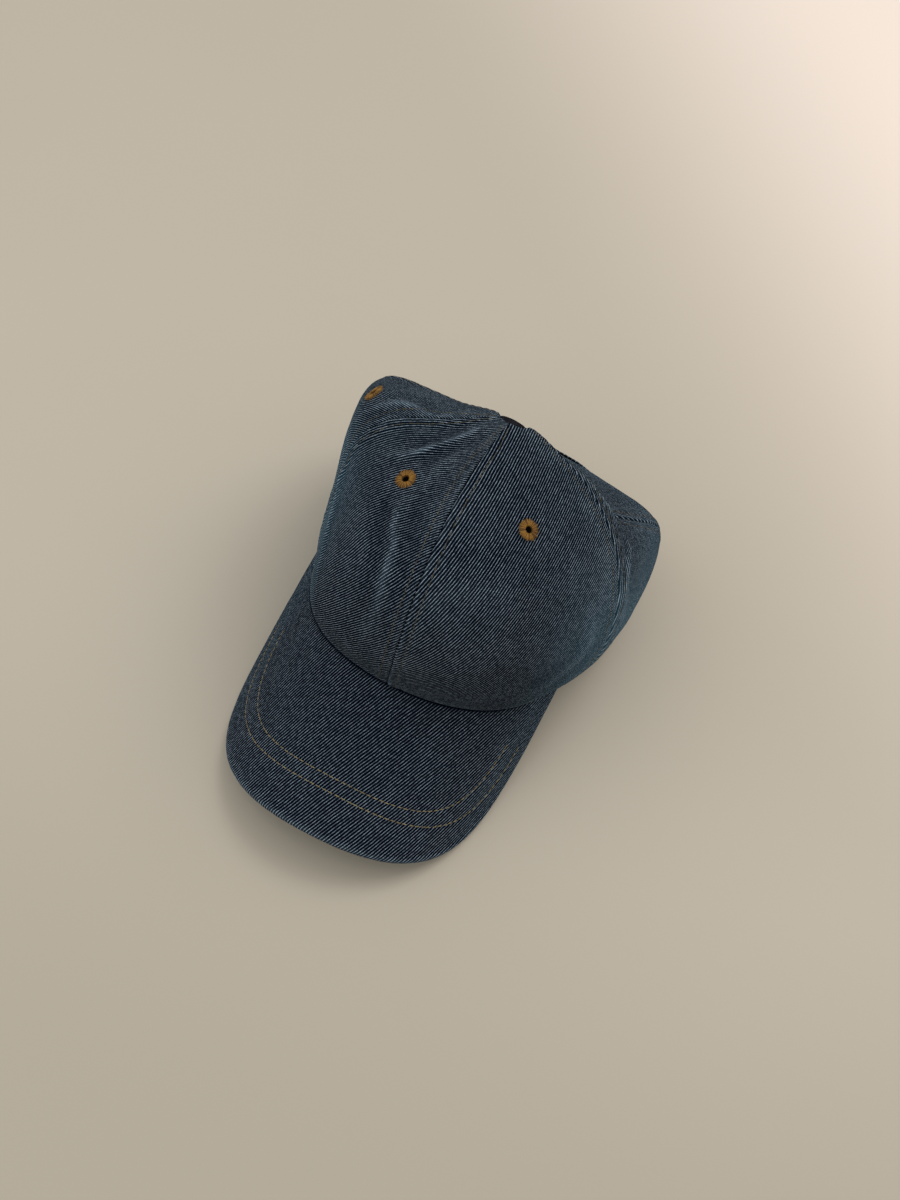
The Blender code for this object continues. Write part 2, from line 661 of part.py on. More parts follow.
def build_binding():
    """The folded tape that closes over the edge of the back opening."""
    foot = [(ARCH_HALF_WIDTH, SWEATBAND_FOOT)]
    outline = np.array(foot + list(map(tuple, arch_outline(steps=21))) + [(-foot[0][0], foot[0][1])])
    spots = [rear_face(x, z) for x, z in outline]
    edge = np.array([crown(*spot) for spot in spots])
    normal = np.array([crown_normal(*spot) for spot in spots])
    ahead = np.gradient(edge, axis=0)
    ahead /= np.linalg.norm(ahead, axis=1, keepdims=True)
    inward = np.cross(ahead, normal)
    inward /= np.linalg.norm(inward, axis=1, keepdims=True)
    if inward[len(inward) // 2][2] > 0:
        inward = -inward
    out = (PLY_GAP + BINDING) * normal
    back = -(PANEL + PLY_GAP + BINDING) * normal
    rim_step = (PLY_GAP + BINDING) * inward
    leg = -BINDING_LEG * inward
    columns = [edge + leg + out, edge + rim_step + out, edge + rim_step + back, edge + leg + back]
    sheet("opening_binding", np.stack(columns, 1), BINDING, "denim")


def build_strap():
    """The long strap; it lies on arcs about the rear centre, so it can be drawn either way."""
    turns = np.linspace(-STRAP_HALF_ANGLE, STRAP_HALF_ANGLE, 41)
    half = (STRAP_HIGH - STRAP_LOW) / 2 * math.hypot(1, STRAP_LEAN)
    rise = np.array([-half, half])[:, None]
    axis = bpy.data.objects.new("strap_axis", None)
    bpy.context.scene.collection.objects.link(axis)
    axis.location = (0, REAR_CENTRE, STRAP_MIDDLE)
    strap = sheet("back_strap", on_strap(turns[::-1], rise, 0.0), STRAP, "denim")
    hang_on(strap, axis)


def hang_on(obj, axis):
    """Parents a piece to the empty on its joint's axis, leaving it where it is."""
    bpy.context.view_layer.update()
    obj.parent = axis
    obj.matrix_parent_inverse = axis.matrix_world.inverted()


STRAP_SLOPE_HALF = (STRAP_HIGH - STRAP_LOW) / 2 * math.hypot(1, STRAP_LEAN)
EAR_INSIDE = STRAP_SLOPE_HALF + CLASP_CLEARANCE
EAR_OUTSIDE = EAR_INSIDE + CLASP_EAR
BARREL_RADIUS = PIN_RADIUS + GAP + BARREL
PIN_OFF = BARREL_RADIUS + GAP
PIN_TURN = CLASP_ANGLE + 0.6 * CLASP_HALF_ANGLE
BAR_TURNS = (CLASP_ANGLE - CLASP_HALF_ANGLE + 0.6, CLASP_ANGLE - CLASP_HALF_ANGLE + 2.1)
BAR_LOW = 2 * GAP + TAB
BAR_HIGH = BAR_LOW + 0.0008
LEVER_LOW = BAR_HIGH + 2 * GAP + TAB


def build_clasp():
    """The flip clasp: a folded metal frame, its pin, and the lever that presses the strap."""
    left, right = CLASP_ANGLE - CLASP_HALF_ANGLE, CLASP_ANGLE + CLASP_HALF_ANGLE
    turns = np.linspace(right, left, 7)
    behind = -STRAP - GAP
    weld = 0.7 * CLASP_EAR
    rise = np.array([-1, 1])[:, None] * (EAR_INSIDE + weld)
    frame = sheet("clasp_frame", on_strap(turns, rise, behind), CLASP_PLATE, "brass")
    for side in (-1, 1):
        off = np.array([behind - 0.8 * CLASP_PLATE, PIN_OFF + BARREL_RADIUS])[:, None]
        ear_turns = np.linspace(left + 0.1, right - 0.1, 7)[::side]
        ear = sheet(f"clasp_ear_{side + 1}", on_strap(ear_turns, side * EAR_OUTSIDE, off),
                    CLASP_EAR, "brass")
        boolean(frame, ear, "UNION")
    bar = sheet("clasp_bar", on_strap(np.linspace(BAR_TURNS[1], BAR_TURNS[0], 3), rise, BAR_HIGH),
                BAR_HIGH - BAR_LOW, "brass")
    boolean(frame, bar, "UNION")
    build_clasp_pin(frame)
    build_lever(left)
    build_anchor_tab()


def pin_place():
    """The placement of the clasp's pin: its Z axis runs up the strap's slope."""
    _, up, _ = strap_frame(PIN_TURN)
    return upright(on_strap(PIN_TURN, 0.0, PIN_OFF), up)


def build_clasp_pin(frame):
    """The headed pin, and its holes in the frame's ears."""
    hole_bm = bmesh.new()
    bmesh.ops.create_cone(hole_bm, cap_ends=True, segments=16, radius1=PIN_RADIUS + GAP,
                          radius2=PIN_RADIUS + GAP, depth=3 * EAR_OUTSIDE, matrix=pin_place())
    hole = add_object("clasp_pin_cutter", hole_bm, "brass")
    boolean(frame, hole, "DIFFERENCE")
    seat = EAR_OUTSIDE + GAP
    head = seat + 0.0006
    profile = [(0, -head), (PIN_HEAD * 0.8, -head), (PIN_HEAD, -seat - 0.0003), (PIN_HEAD, -seat),
               (PIN_RADIUS, -seat), (PIN_RADIUS, seat), (PIN_HEAD, seat), (PIN_HEAD, seat + 0.0003),
               (PIN_HEAD * 0.8, head), (0, head)]
    turned("clasp_pin", profile, "brass", pin_place(), steps=12)


def build_lever(left):
    """The lever: a barrel round the pin, a plate over the strap, and a lip for the finger."""
    half = EAR_INSIDE - GAP
    bore = PIN_RADIUS + GAP
    ring = ((bore, -half), (BARREL_RADIUS, -half), (BARREL_RADIUS, half), (bore, half))
    lever = turned("clasp_lever", ring, "brass", pin_place(), steps=20, closed=True)
    far = left - 1.5
    turns = np.concatenate([np.linspace(PIN_TURN + 0.3, left, 6), [far + 0.7, far]])
    off = np.array([LEVER_LOW + LEVER] * 6 + [LEVER_LOW + LEVER + 0.0004, LEVER_LOW + LEVER + 0.0012])
    rise = np.array([-1, 1])[:, None] * half * 0.985
    plate = sheet("clasp_lever_plate", on_strap(turns, rise, off), LEVER, "brass")
    boolean(lever, plate, "UNION")
    axis = bpy.data.objects.new("lever_axis", None)
    bpy.context.scene.collection.objects.link(axis)
    axis.matrix_world = pin_place()
    hang_on(lever, axis)


def build_anchor_tab():
    """The fabric tab sewn on the back left panel; it loops round the frame's bar."""
    half = STRAP_SLOPE_HALF - 0.0008
    rises = np.array([-half, 0.0, half])
    lift = PLY_GAP + BINDING + PLY_GAP + GAP + TAB
    columns = []
    for turn in np.linspace(TAB_END_ANGLE, TAB_LEAVES_PANEL, 5):
        angle = float(rear_angle(turn))
        heights = STRAP_MIDDLE + rises / math.hypot(1, STRAP_LEAN)
        t = np.array([crown_at_height(angle, height) for height in heights])
        normal = crown_normal(np.full(3, angle), t)
        columns.append(crown(np.full(3, angle), t) + normal * lift)
    wrap = TAB + GAP
    middle = (BAR_LOW + BAR_HIGH) / 2
    loop = ((BAR_TURNS[0] - 1.0, BAR_HIGH + wrap), (BAR_TURNS[1], BAR_HIGH + wrap),
            (BAR_TURNS[1] + 0.75, middle + 0.0008), (BAR_TURNS[1] + 0.75, middle - 0.0008),
            (BAR_TURNS[1], GAP), (BAR_TURNS[0], GAP), (BAR_TURNS[0] - 2.6, GAP))
    for turn, off in loop:
        columns.append(on_strap(np.full(3, turn), rises, off))
    grid = np.stack(columns, 1)
    sheet("clasp_tab", grid[:, ::-1], TAB, "denim")


def clear_scene():
    """Empties the scene that Blender starts with."""
    for obj in list(bpy.data.objects):
        bpy.data.objects.remove(obj, do_unlink=True)


def stand_at_origin():
    """Moves the cap so that its origin is the middle of its box, on the table."""
    graph = bpy.context.evaluated_depsgraph_get()
    corners = []
    for obj in bpy.data.objects:
        if obj.type == "MESH" and not obj.hide_render:
            found = obj.evaluated_get(graph)
            corners += [found.matrix_world @ Vector(corner) for corner in found.bound_box]
    low = [min(corner[axis] for corner in corners) for axis in range(3)]
    high = [max(corner[axis] for corner in corners) for axis in range(3)]
    origin = bpy.data.objects.new("cap_origin", None)
    bpy.context.scene.collection.objects.link(origin)
    origin.location = (-(low[0] + high[0]) / 2, -(low[1] + high[1]) / 2, -low[2])
    for obj in bpy.data.objects:
        if obj.parent is None and obj is not origin:
            obj.parent = origin


def main():
    """Builds the whole cap."""
    clear_scene()
    panels = build_panels()
    cut_back_opening(panels)
    build_seam_tapes()
    build_button()
    build_brim()
    build_sweatband()
    build_binding()
    build_strap()
    build_clasp()
    stand_at_origin()


main()
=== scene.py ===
"""Looks of a soft six-panel denim baseball cap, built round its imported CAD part.

Everything is in metres in the part's frame: +Z up, the brim points along -Y, and +X is
the wearer's left. The crown is one form, cut into six cloth panels; each piece of cloth
is a fine sheet laid on that form, with its seams, hems, creases and stitches modelled.
"""

import json
import logging
import math
from collections.abc import Iterable, Mapping, Sequence
from dataclasses import dataclass, field
from enum import Enum
from functools import cached_property
from typing import Any

import bmesh
import bpy
import numpy as np
from mathutils import Matrix, Vector


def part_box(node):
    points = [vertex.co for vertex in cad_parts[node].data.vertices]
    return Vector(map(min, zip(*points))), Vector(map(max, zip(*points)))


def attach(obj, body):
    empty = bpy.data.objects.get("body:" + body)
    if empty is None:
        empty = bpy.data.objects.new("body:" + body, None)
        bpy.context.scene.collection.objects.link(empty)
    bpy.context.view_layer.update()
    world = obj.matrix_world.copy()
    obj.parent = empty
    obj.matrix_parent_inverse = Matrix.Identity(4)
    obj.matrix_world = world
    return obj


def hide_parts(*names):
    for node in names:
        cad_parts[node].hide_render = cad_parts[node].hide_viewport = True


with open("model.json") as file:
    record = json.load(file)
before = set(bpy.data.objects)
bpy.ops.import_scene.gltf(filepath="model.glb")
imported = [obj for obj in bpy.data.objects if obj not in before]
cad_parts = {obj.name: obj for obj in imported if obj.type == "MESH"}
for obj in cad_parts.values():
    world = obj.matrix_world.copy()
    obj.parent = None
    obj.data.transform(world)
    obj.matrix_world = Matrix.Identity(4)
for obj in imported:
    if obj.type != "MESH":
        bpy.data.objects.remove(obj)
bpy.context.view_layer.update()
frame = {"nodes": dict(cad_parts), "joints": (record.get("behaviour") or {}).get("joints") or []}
LOG = logging.getLogger("cap")
MM = 0.001
BODY = "cap"
Array = np.ndarray
PANEL_ANGLE = 60.0           # degrees of the crown's round to one panel
BRIM_END_ANGLE = 76.0        # crown angle of the brim's ends, either side
BRIM_FACE = 1.1 * MM         # the brim's outer face over its board
WELD = 1e-6                  # vertices nearer than this become one


class Slot(Enum):
    """The record's material slots of the pieces made here."""

    DENIM = "denim"
    THREAD = "eyelet_thread"
    TAPE = "seam_tape"
    LINING = "sweatband_cloth"
    BUTTON = "button_cloth"
    BRASS = "brass"


class Held(Enum):
    """How a piece of cloth is held."""

    STRETCHED = "stretched"
    FOLDED = "folded"


# ---------------------------------------------------------------- small helpers
def smooth_step(value: Array, low: float, high: float) -> Array:
    """0 below low, 1 above high, and a smooth rise between them."""
    share = np.clip((value - low) / (high - low), 0.0, 1.0)
    return share * share * (3.0 - 2.0 * share)


def bell(value: Array, middle: float, width: float) -> Array:
    """A bump of height 1 at the middle, which fades over the width."""
    return np.exp(-(((value - middle) / width) ** 2))


def from_front(angle: Array) -> Array:
    """Crown angles as turns either side of the front, from -180 to 180."""
    return (angle + 180) % 360 - 180


def unit(vectors: Array) -> Array:
    """The vectors at length 1."""
    return vectors / np.maximum(np.linalg.norm(vectors, axis=-1, keepdims=True), 1e-12)


def rumple(points: Array, size: float, seed: int) -> Array:
    """Smooth random relief over space.

    Args:
        points: places, with three coordinates on the last axis.
        size: the width of one swell, in metres.
        seed: picks the pattern.

    Returns:
        One value from -1 to 1 for each place.
    """
    count = 32
    table = np.random.default_rng(seed).uniform(-1.0, 1.0, (count, count, count))
    place = points / size + 57.3
    base = np.floor(place).astype(int)
    share = place - base
    share = share**3 * (share * (6.0 * share - 15.0) + 10.0)
    total = np.zeros(points.shape[:-1])
    for corner in np.ndindex(2, 2, 2):
        weight = np.prod(np.where(np.array(corner) == 1, share, 1.0 - share), axis=-1)
        cell = (base + np.array(corner)) % count
        total += weight * table[cell[..., 0], cell[..., 1], cell[..., 2]]
    return total


def path_distance(points: Array, path: Array) -> tuple[Array, Array]:
    """How far each place lies from a path, and how far along the path, from 0 to 1."""
    flat = points.reshape(-1, 3)
    best = np.full(len(flat), np.inf)
    where = np.zeros(len(flat))
    pieces = len(path) - 1
    for index in range(pieces):
        start, step = path[index], path[index + 1] - path[index]
        share = np.clip(((flat - start) @ step) / max(float(step @ step), 1e-12), 0.0, 1.0)
        gap = np.linalg.norm(flat - start - share[:, None] * step, axis=1)
        nearer = gap < best
        best = np.where(nearer, gap, best)
        where = np.where(nearer, (index + share) / pieces, where)
    return best.reshape(points.shape[:-1]), where.reshape(points.shape[:-1])


def along_rows(points: Array) -> Array:
    """The running length along the last but one axis of a run of points."""
    steps = np.linalg.norm(np.diff(points, axis=-2), axis=-1)
    zero = np.zeros((*steps.shape[:-1], 1))
    return np.concatenate([zero, np.cumsum(steps, axis=-1)], axis=-1)


def grid_normals(points: Array) -> Array:
    """The outward unit normals of a grid whose columns and rows turn outwards."""
    across = np.gradient(points, axis=1)
    up = np.gradient(points, axis=0)
    return unit(np.cross(across, up))


def grid_area(points: Array) -> float:
    """The area of a grid of points."""
    one = points[1:, :-1] - points[:-1, :-1]
    two = points[:-1, 1:] - points[:-1, :-1]
    three = points[1:, :-1] - points[1:, 1:]
    four = points[:-1, 1:] - points[1:, 1:]
    halves = np.linalg.norm(np.cross(one, two), axis=-1) + np.linalg.norm(np.cross(three, four), axis=-1)
    return float(halves.sum() / 2.0)


# ---------------------------------------------------------------- shader writing
class Value:
    """A number that varies over a surface, with the usual operators."""

    def __init__(self, paint: "Paint", socket: bpy.types.NodeSocket) -> None:
        """Wraps one output socket."""
        self.paint = paint
        self.socket = socket

    def _math(self, operation: str, *others: Any, clamp: bool = False, flip: bool = False) -> "Value":
        """Adds one Math node on this value and the others."""
        terms = [self, *others]
        if flip:
            terms.reverse()
        node = self.paint.node(
            "ShaderNodeMath", {"operation": operation, "use_clamp": clamp}, dict(enumerate(terms))
        )
        return Value(self.paint, node.outputs[0])

    def __add__(self, other: Any) -> "Value":
        """Self plus other."""
        return self._math("ADD", other)

    __radd__ = __add__

    def __sub__(self, other: Any) -> "Value":
        """Self minus other."""
        return self._math("SUBTRACT", other)

    def __rsub__(self, other: Any) -> "Value":
        """Other minus self."""
        return self._math("SUBTRACT", other, flip=True)

    def __mul__(self, other: Any) -> "Value":
        """Self times other."""
        return self._math("MULTIPLY", other)

    __rmul__ = __mul__

    def __pow__(self, other: Any) -> "Value":
        """Self to the power of other."""
        return self._math("POWER", other)

    def clamped(self) -> "Value":
        """Self, held between 0 and 1."""
        return self._math("ADD", 0.0, clamp=True)

    def sine(self) -> "Value":
        """The sine of self, in radians."""
        return self._math("SINE")

    def wave(self, length: float) -> "Value":
        """A wave from 0 to 1 that repeats each length."""
        return (self * (math.tau / length)).sine() * 0.5 + 0.5

    def ramp(self, low: float, high: float) -> "Value":
        """0 at low, 1 at high, smooth between."""
        node = self.paint.node(
            "ShaderNodeMapRange",
            {"interpolation_type": "SMOOTHSTEP", "clamp": True},
            {"Value": self, "From Min": low, "From Max": high},
        )
        return Value(self.paint, node.outputs[0])


class Paint:
    """One node material under construction."""

    def __init__(self, name: str) -> None:
        """Starts a material that holds a Principled shader."""
        self.material = bpy.data.materials.new(name)
        self.material.use_nodes = True
        self.tree = self.material.node_tree
        self.shader = self.tree.nodes["Principled BSDF"]

    def node(self, kind: str, settings: Mapping[str, Any], sockets: Mapping[Any, Any]) -> bpy.types.Node:
        """Adds a node.

        Args:
            kind: the node's type.
            settings: its properties, which are set first.
            sockets: input names or numbers, and the value or link of each.

        Returns:
            The new node.
        """
        made = self.tree.nodes.new(kind)
        for key, value in settings.items():
            setattr(made, key, value)
        for key, value in sockets.items():
            self.plug(made.inputs[key], value)
        return made

    def plug(self, socket: bpy.types.NodeSocket, value: Any) -> None:
        """Links or sets one input socket."""
        if isinstance(value, Value):
            value = value.socket
        if isinstance(value, bpy.types.NodeSocket):
            self.tree.links.new(value, socket)
        else:
            socket.default_value = value

    def mix(self, factor: Any, one: Any, two: Any, blend: str = "MIX") -> bpy.types.NodeSocket:
        """A colour between two colours."""
        made = self.node(
            "ShaderNodeMix",
            {"data_type": "RGBA", "blend_type": blend, "clamp_factor": True},
            {0: factor, 6: rgba(one), 7: rgba(two)},
        )
        return made.outputs[2]

    def uv(self, name: str) -> tuple[bpy.types.NodeSocket, Value, Value]:
        """A UV map in millimetres: its vector, and its two measures."""
        found = self.node("ShaderNodeUVMap", {"uv_map": name}, {})
        scaled = self.node(
            "ShaderNodeVectorMath", {"operation": "SCALE"}, {0: found.outputs[0], "Scale": 1000.0}
        )
        parts = self.node("ShaderNodeSeparateXYZ", {}, {0: scaled.outputs[0]})
        return scaled.outputs[0], Value(self, parts.outputs[0]), Value(self, parts.outputs[1])

    def place(self) -> bpy.types.NodeSocket:
        """The place on the piece, in millimetres."""
        found = self.node("ShaderNodeTexCoord", {}, {})
        scaled = self.node(
            "ShaderNodeVectorMath", {"operation": "SCALE"}, {0: found.outputs["Object"], "Scale": 1000.0}
        )
        return scaled.outputs[0]

    def noise(self, vector: Any, size: float, detail: float = 2.0, rough: float = 0.55) -> Value:
        """Soft noise about 0.5; size is the width of its swells, in millimetres."""
        made = self.node(
            "ShaderNodeTexNoise",
            {"noise_dimensions": "3D"},
            {"Vector": vector, "Scale": 1.0 / size, "Detail": detail, "Roughness": rough},
        )
        return Value(self, made.outputs[0])

    def stretched(self, vector: Any, along: tuple[float, float, float]) -> bpy.types.NodeSocket:
        """A vector scaled on each axis."""
        made = self.node("ShaderNodeVectorMath", {"operation": "MULTIPLY"}, {0: vector, 1: along})
        return made.outputs[0]

    def joined(self, x: Value, y: Value) -> bpy.types.NodeSocket:
        """A vector from two measures."""
        return self.node("ShaderNodeCombineXYZ", {}, {0: x, 1: y}).outputs[0]

    def mark(self, name: str) -> Value:
        """A number painted on the mesh."""
        made = self.node("ShaderNodeAttribute", {"attribute_type": "GEOMETRY", "attribute_name": name}, {})
        return Value(self, made.outputs["Fac"])

    def bump(self, height: Value, distance: float, strength: float) -> bpy.types.NodeSocket:
        """A normal from a height."""
        made = self.node("ShaderNodeBump", {}, {"Height": height, "Distance": distance, "Strength": strength})
        return made.outputs[0]

    def finish(self, **sockets: Any) -> bpy.types.Material:
        """Sets the shader's sockets, written with _ for a space, and returns the material."""
        for key, value in sockets.items():
            self.plug(self.shader.inputs[key.replace("_", " ")], value)
        return self.material


def rgba(colour: Any) -> Any:
    """Three numbers as a colour with alpha; a link stays as it is."""
    if isinstance(colour, tuple) and len(colour) == 3:
        return (*colour, 1.0)
    return colour


# ---------------------------------------------------------------- finishes
@dataclass(frozen=True)
class DenimFinish:
    """Washed indigo twill: dark warp, pale weft floats on fine diagonals, faded where it rubs, with painted
    light and shade laid in by two painted marks.
    """

    name: str
    dark: tuple[float, float, float] = (0.0008, 0.0024, 0.0066)
    faded: tuple[float, float, float] = (0.0280, 0.0450, 0.0620)
    # teal is painted light: the shade mark mixes it into the ground where the cloth is painted lighter
    teal: tuple[float, float, float] = (0.0200, 0.0640, 0.0960)
    weft: tuple[float, float, float] = (0.3500, 0.4350, 0.5200)
    diagonal: float = 59.5
    pitch: float = 1.15
    float_length: float = 0.92
    lightness: float = 1.0
    fade: float = 0.35
    wear_and_shade: float = 0.75

    def build(self) -> bpy.types.Material:
        """Makes the material."""
        paint = Paint(self.name)
        vector, across, along = paint.uv("cloth")
        sway = paint.noise(vector, 9.0, 1.0) - 0.5
        jitter = paint.noise(paint.stretched(vector, (1.0, 0.35, 1.0)), 0.55, 1.0) - 0.5
        turn = math.radians(self.diagonal)
        across_lines = across * math.sin(turn) - along * math.cos(turn) + sway * 0.55 + jitter * 0.22
        along_lines = across * math.cos(turn) + along * math.sin(turn)
        dash = paint.noise(paint.joined(across_lines, along_lines * 0.40), 0.80, 1.0, 0.6).ramp(0.34, 0.66)
        line = across_lines.wave(self.pitch)
        rows = (along + sway * 0.4 + jitter * 0.3).wave(self.float_length)
        yarn = across.wave(0.46)
        grain = paint.noise(vector, 0.42, 2.0, 0.7)
        streak = paint.noise(paint.stretched(vector, (1.0, 0.06, 1.0)), 1.3, 2.0, 0.6)
        cloud = paint.noise(vector, 22.0, 3.0, 0.6)
        crossed = rows * 0.34 + 0.55
        flecked = grain.ramp(0.30, 0.70) * 0.80 + 0.62
        floats = line**12.0 * crossed * (dash + 0.62) * flecked
        # This mark pales the cloth where it rubs, and below 0 it darkens it with painted shade, chiefly in
        # the troughs beside creases.
        wear_and_shade = paint.mark("wear_and_shade")
        # This shade mark is painted light and shade: above 0 the cloth is lighter and its ground turns teal,
        # below 0 it is darker.
        shade = paint.mark("shade")
        tone = (cloud.ramp(0.32, 0.74) * 0.40 + streak.ramp(0.38, 0.72) * 0.30) * self.fade * 1.3
        tone = tone + wear_and_shade * self.wear_and_shade + shade
        wash = tone.clamped()
        lit = (floats * self.lightness * (0.60 + tone * 0.60)).clamped()
        ground = paint.mix(shade.clamped(), paint.mix(wash * wash, self.dark, self.faded), self.teal)
        fuzz = (grain.ramp(0.60, 0.86) * (0.005 + wash * wash * 0.22)).clamped()
        ground = paint.mix(fuzz, ground, self.weft)
        colour = paint.mix(lit, ground, self.weft)
        relief = line * 0.55 + rows * 0.20 + yarn * 0.10 + grain * 0.45
        return paint.finish(
            Base_Color=colour,
            Roughness=0.90,
            Specular_IOR_Level=0.0,
            Normal=paint.bump(relief, 0.00022, 0.60),
        )


@dataclass(frozen=True)
class ThreadFinish:
    """Glossy twisted sewing thread."""

    name: str
    colour: tuple[float, float, float]
    shadow: tuple[float, float, float]

    def build(self) -> bpy.types.Material:
        """Makes the material."""
        paint = Paint(self.name)
        place = paint.place()
        fibre = paint.noise(place, 0.35, 2.0, 0.6)
        tone = paint.noise(place, 3.5, 1.0)
        colour = paint.mix(tone.ramp(0.3, 0.7) * 0.5 + fibre.ramp(0.35, 0.75) * 0.5, self.shadow, self.colour)
        return paint.finish(
            Base_Color=colour,
            Roughness=0.55,
            Specular_IOR_Level=0.25,
            Normal=paint.bump(fibre, 0.0001, 0.5),
        )


@dataclass(frozen=True)
class WovenFinish:
    """Plain woven cotton, for tape and sweatband."""

    name: str
    colour: tuple[float, float, float]
    light: tuple[float, float, float]
    pitch: float = 0.7
    ribbed: bool = False

    def build(self) -> bpy.types.Material:
        """Makes the material."""
        paint = Paint(self.name)
        vector, across, along = paint.uv("cloth")
        jitter = (paint.noise(vector, 1.1, 1.0) - 0.5) * 0.35
        one = (across + jitter).wave(self.pitch)
        two = (along + jitter).wave(self.pitch * (0.5 if self.ribbed else 1.0))
        weave = one * 0.5 + two * 0.5
        cloud = paint.noise(vector, 14.0, 3.0)
        wear_and_shade = paint.mark("wear_and_shade")
        tone = (weave * 0.45 + cloud.ramp(0.3, 0.75) * 0.35 + wear_and_shade * 0.4).clamped()
        return paint.finish(
            Base_Color=paint.mix(tone, self.colour, self.light),
            Roughness=0.88,
            Specular_IOR_Level=0.08,
            Normal=paint.bump(weave, 0.0002, 0.6),
        )


@dataclass(frozen=True)
class BrassFinish:
    """Antique brass: darkened in the hollows, bright where it is handled."""

    name: str
    bright: tuple[float, float, float] = (0.42, 0.30, 0.15)
    aged: tuple[float, float, float] = (0.070, 0.050, 0.032)

    def build(self) -> bpy.types.Material:
        """Makes the material."""
        paint = Paint(self.name)
        place = paint.place()
        patina = paint.noise(place, 1.3, 3.0, 0.55)
        scratch = paint.noise(paint.stretched(place, (0.35, 3.0, 3.0)), 0.8, 2.0, 0.7)
        tone = (0.30 + patina.ramp(0.34, 0.66) * 0.40 + scratch.ramp(0.55, 0.75) * 0.30).clamped()
        return paint.finish(
            Base_Color=paint.mix(tone, self.aged, self.bright),
            Metallic=1.0,
            Roughness=0.52 - tone * 0.20,
            Normal=paint.bump(scratch * 0.5 + patina * 0.5, 0.0001, 0.35),
        )


@dataclass(frozen=True)
class BoardFinish:
    """The moulded board inside the brim."""

    name: str = "brim board plastic"

    def build(self) -> bpy.types.Material:
        """Makes the material."""
        paint = Paint(self.name)
        grain = paint.noise(paint.place(), 0.8, 2.0)
        return paint.finish(
            Base_Color=paint.mix(grain, (0.62, 0.60, 0.54), (0.74, 0.72, 0.66)),
            Roughness=0.6,
            Normal=paint.bump(grain, 0.0001, 0.3),
        )


@dataclass(frozen=True)
class TableFinish:
    """The pale, plain table top."""
    # The pale, plain table top, with a painted pool of light towards +X and +Y and painted shade towards -Y.

    name: str = "pale table"
    colour: tuple[float, float, float] = (0.462, 0.416, 0.343)
    # bright is the colour of the painted pool of light, and the colour after it the painted shade.
    bright: tuple[float, float, float] = (0.855, 0.748, 0.669)
    painted_shade: tuple[float, float, float] = (0.408, 0.366, 0.295)

    def build(self) -> bpy.types.Material:
        """Makes the material."""
        paint = Paint(self.name)
        place = paint.place()
        parts = paint.node("ShaderNodeSeparateXYZ", {}, {0: place})
        x, y = Value(paint, parts.outputs[0]), Value(paint, parts.outputs[1])
        # Painted light: a pool of light towards +X and +Y.
        pool_of_painted_light = (x * 0.666 + y * 0.746).ramp(150.0, 520.0)
        # Painted shade: darker towards -Y.
        near = (x * 0.1 - y).ramp(20.0, 270.0)
        mottle = paint.noise(place, 160.0, 2.0)
        speck = paint.noise(place, 1.2, 2.0)
        lighter = tuple(channel * 1.05 for channel in self.colour)
        tone = mottle * 0.7 + speck * 0.3
        plain = paint.mix(tone, self.colour, lighter)
        plain = paint.mix(near, plain, self.painted_shade)
        return paint.finish(
            Base_Color=paint.mix(pool_of_painted_light, plain, self.bright),
            Roughness=0.55,
            Specular_IOR_Level=0.25,
            Normal=paint.bump(speck, 0.0001, 0.1),
        )


@dataclass
class Wardrobe:
    """Every finish of the cap, made once."""

    mustard: ThreadFinish = ThreadFinish("mustard thread", (0.330, 0.170, 0.026), (0.170, 0.080, 0.013))
    ochre: ThreadFinish = ThreadFinish("ochre topstitch", (0.300, 0.230, 0.100), (0.130, 0.105, 0.055))
    washed: ThreadFinish = ThreadFinish(
        "washed ochre topstitch", (0.085, 0.072, 0.038), (0.020, 0.024, 0.024)
    )
    # Threads painted in shade: a near-black one for the eyelets' throats, which are dark only from shade, and
    # a darker mustard for the eyelet thread in shade.
    core: ThreadFinish = ThreadFinish("eyelet throat painted shade", (0.006, 0.005, 0.004), (0.002, 0.002, 0.002))
    mustard_painted_shade: ThreadFinish = ThreadFinish("mustard thread in shade", (0.150, 0.070, 0.012), (0.070, 0.032, 0.007))
    navy: ThreadFinish = ThreadFinish("navy thread", (0.050, 0.060, 0.085), (0.015, 0.020, 0.032))
    made: dict[str, bpy.types.Material] = field(default_factory=dict)

    def of(self, finish: Any) -> bpy.types.Material:
        """The material of a finish, made on its first use."""
        if finish.name not in self.made:
            self.made[finish.name] = finish.build()
        return self.made[finish.name]


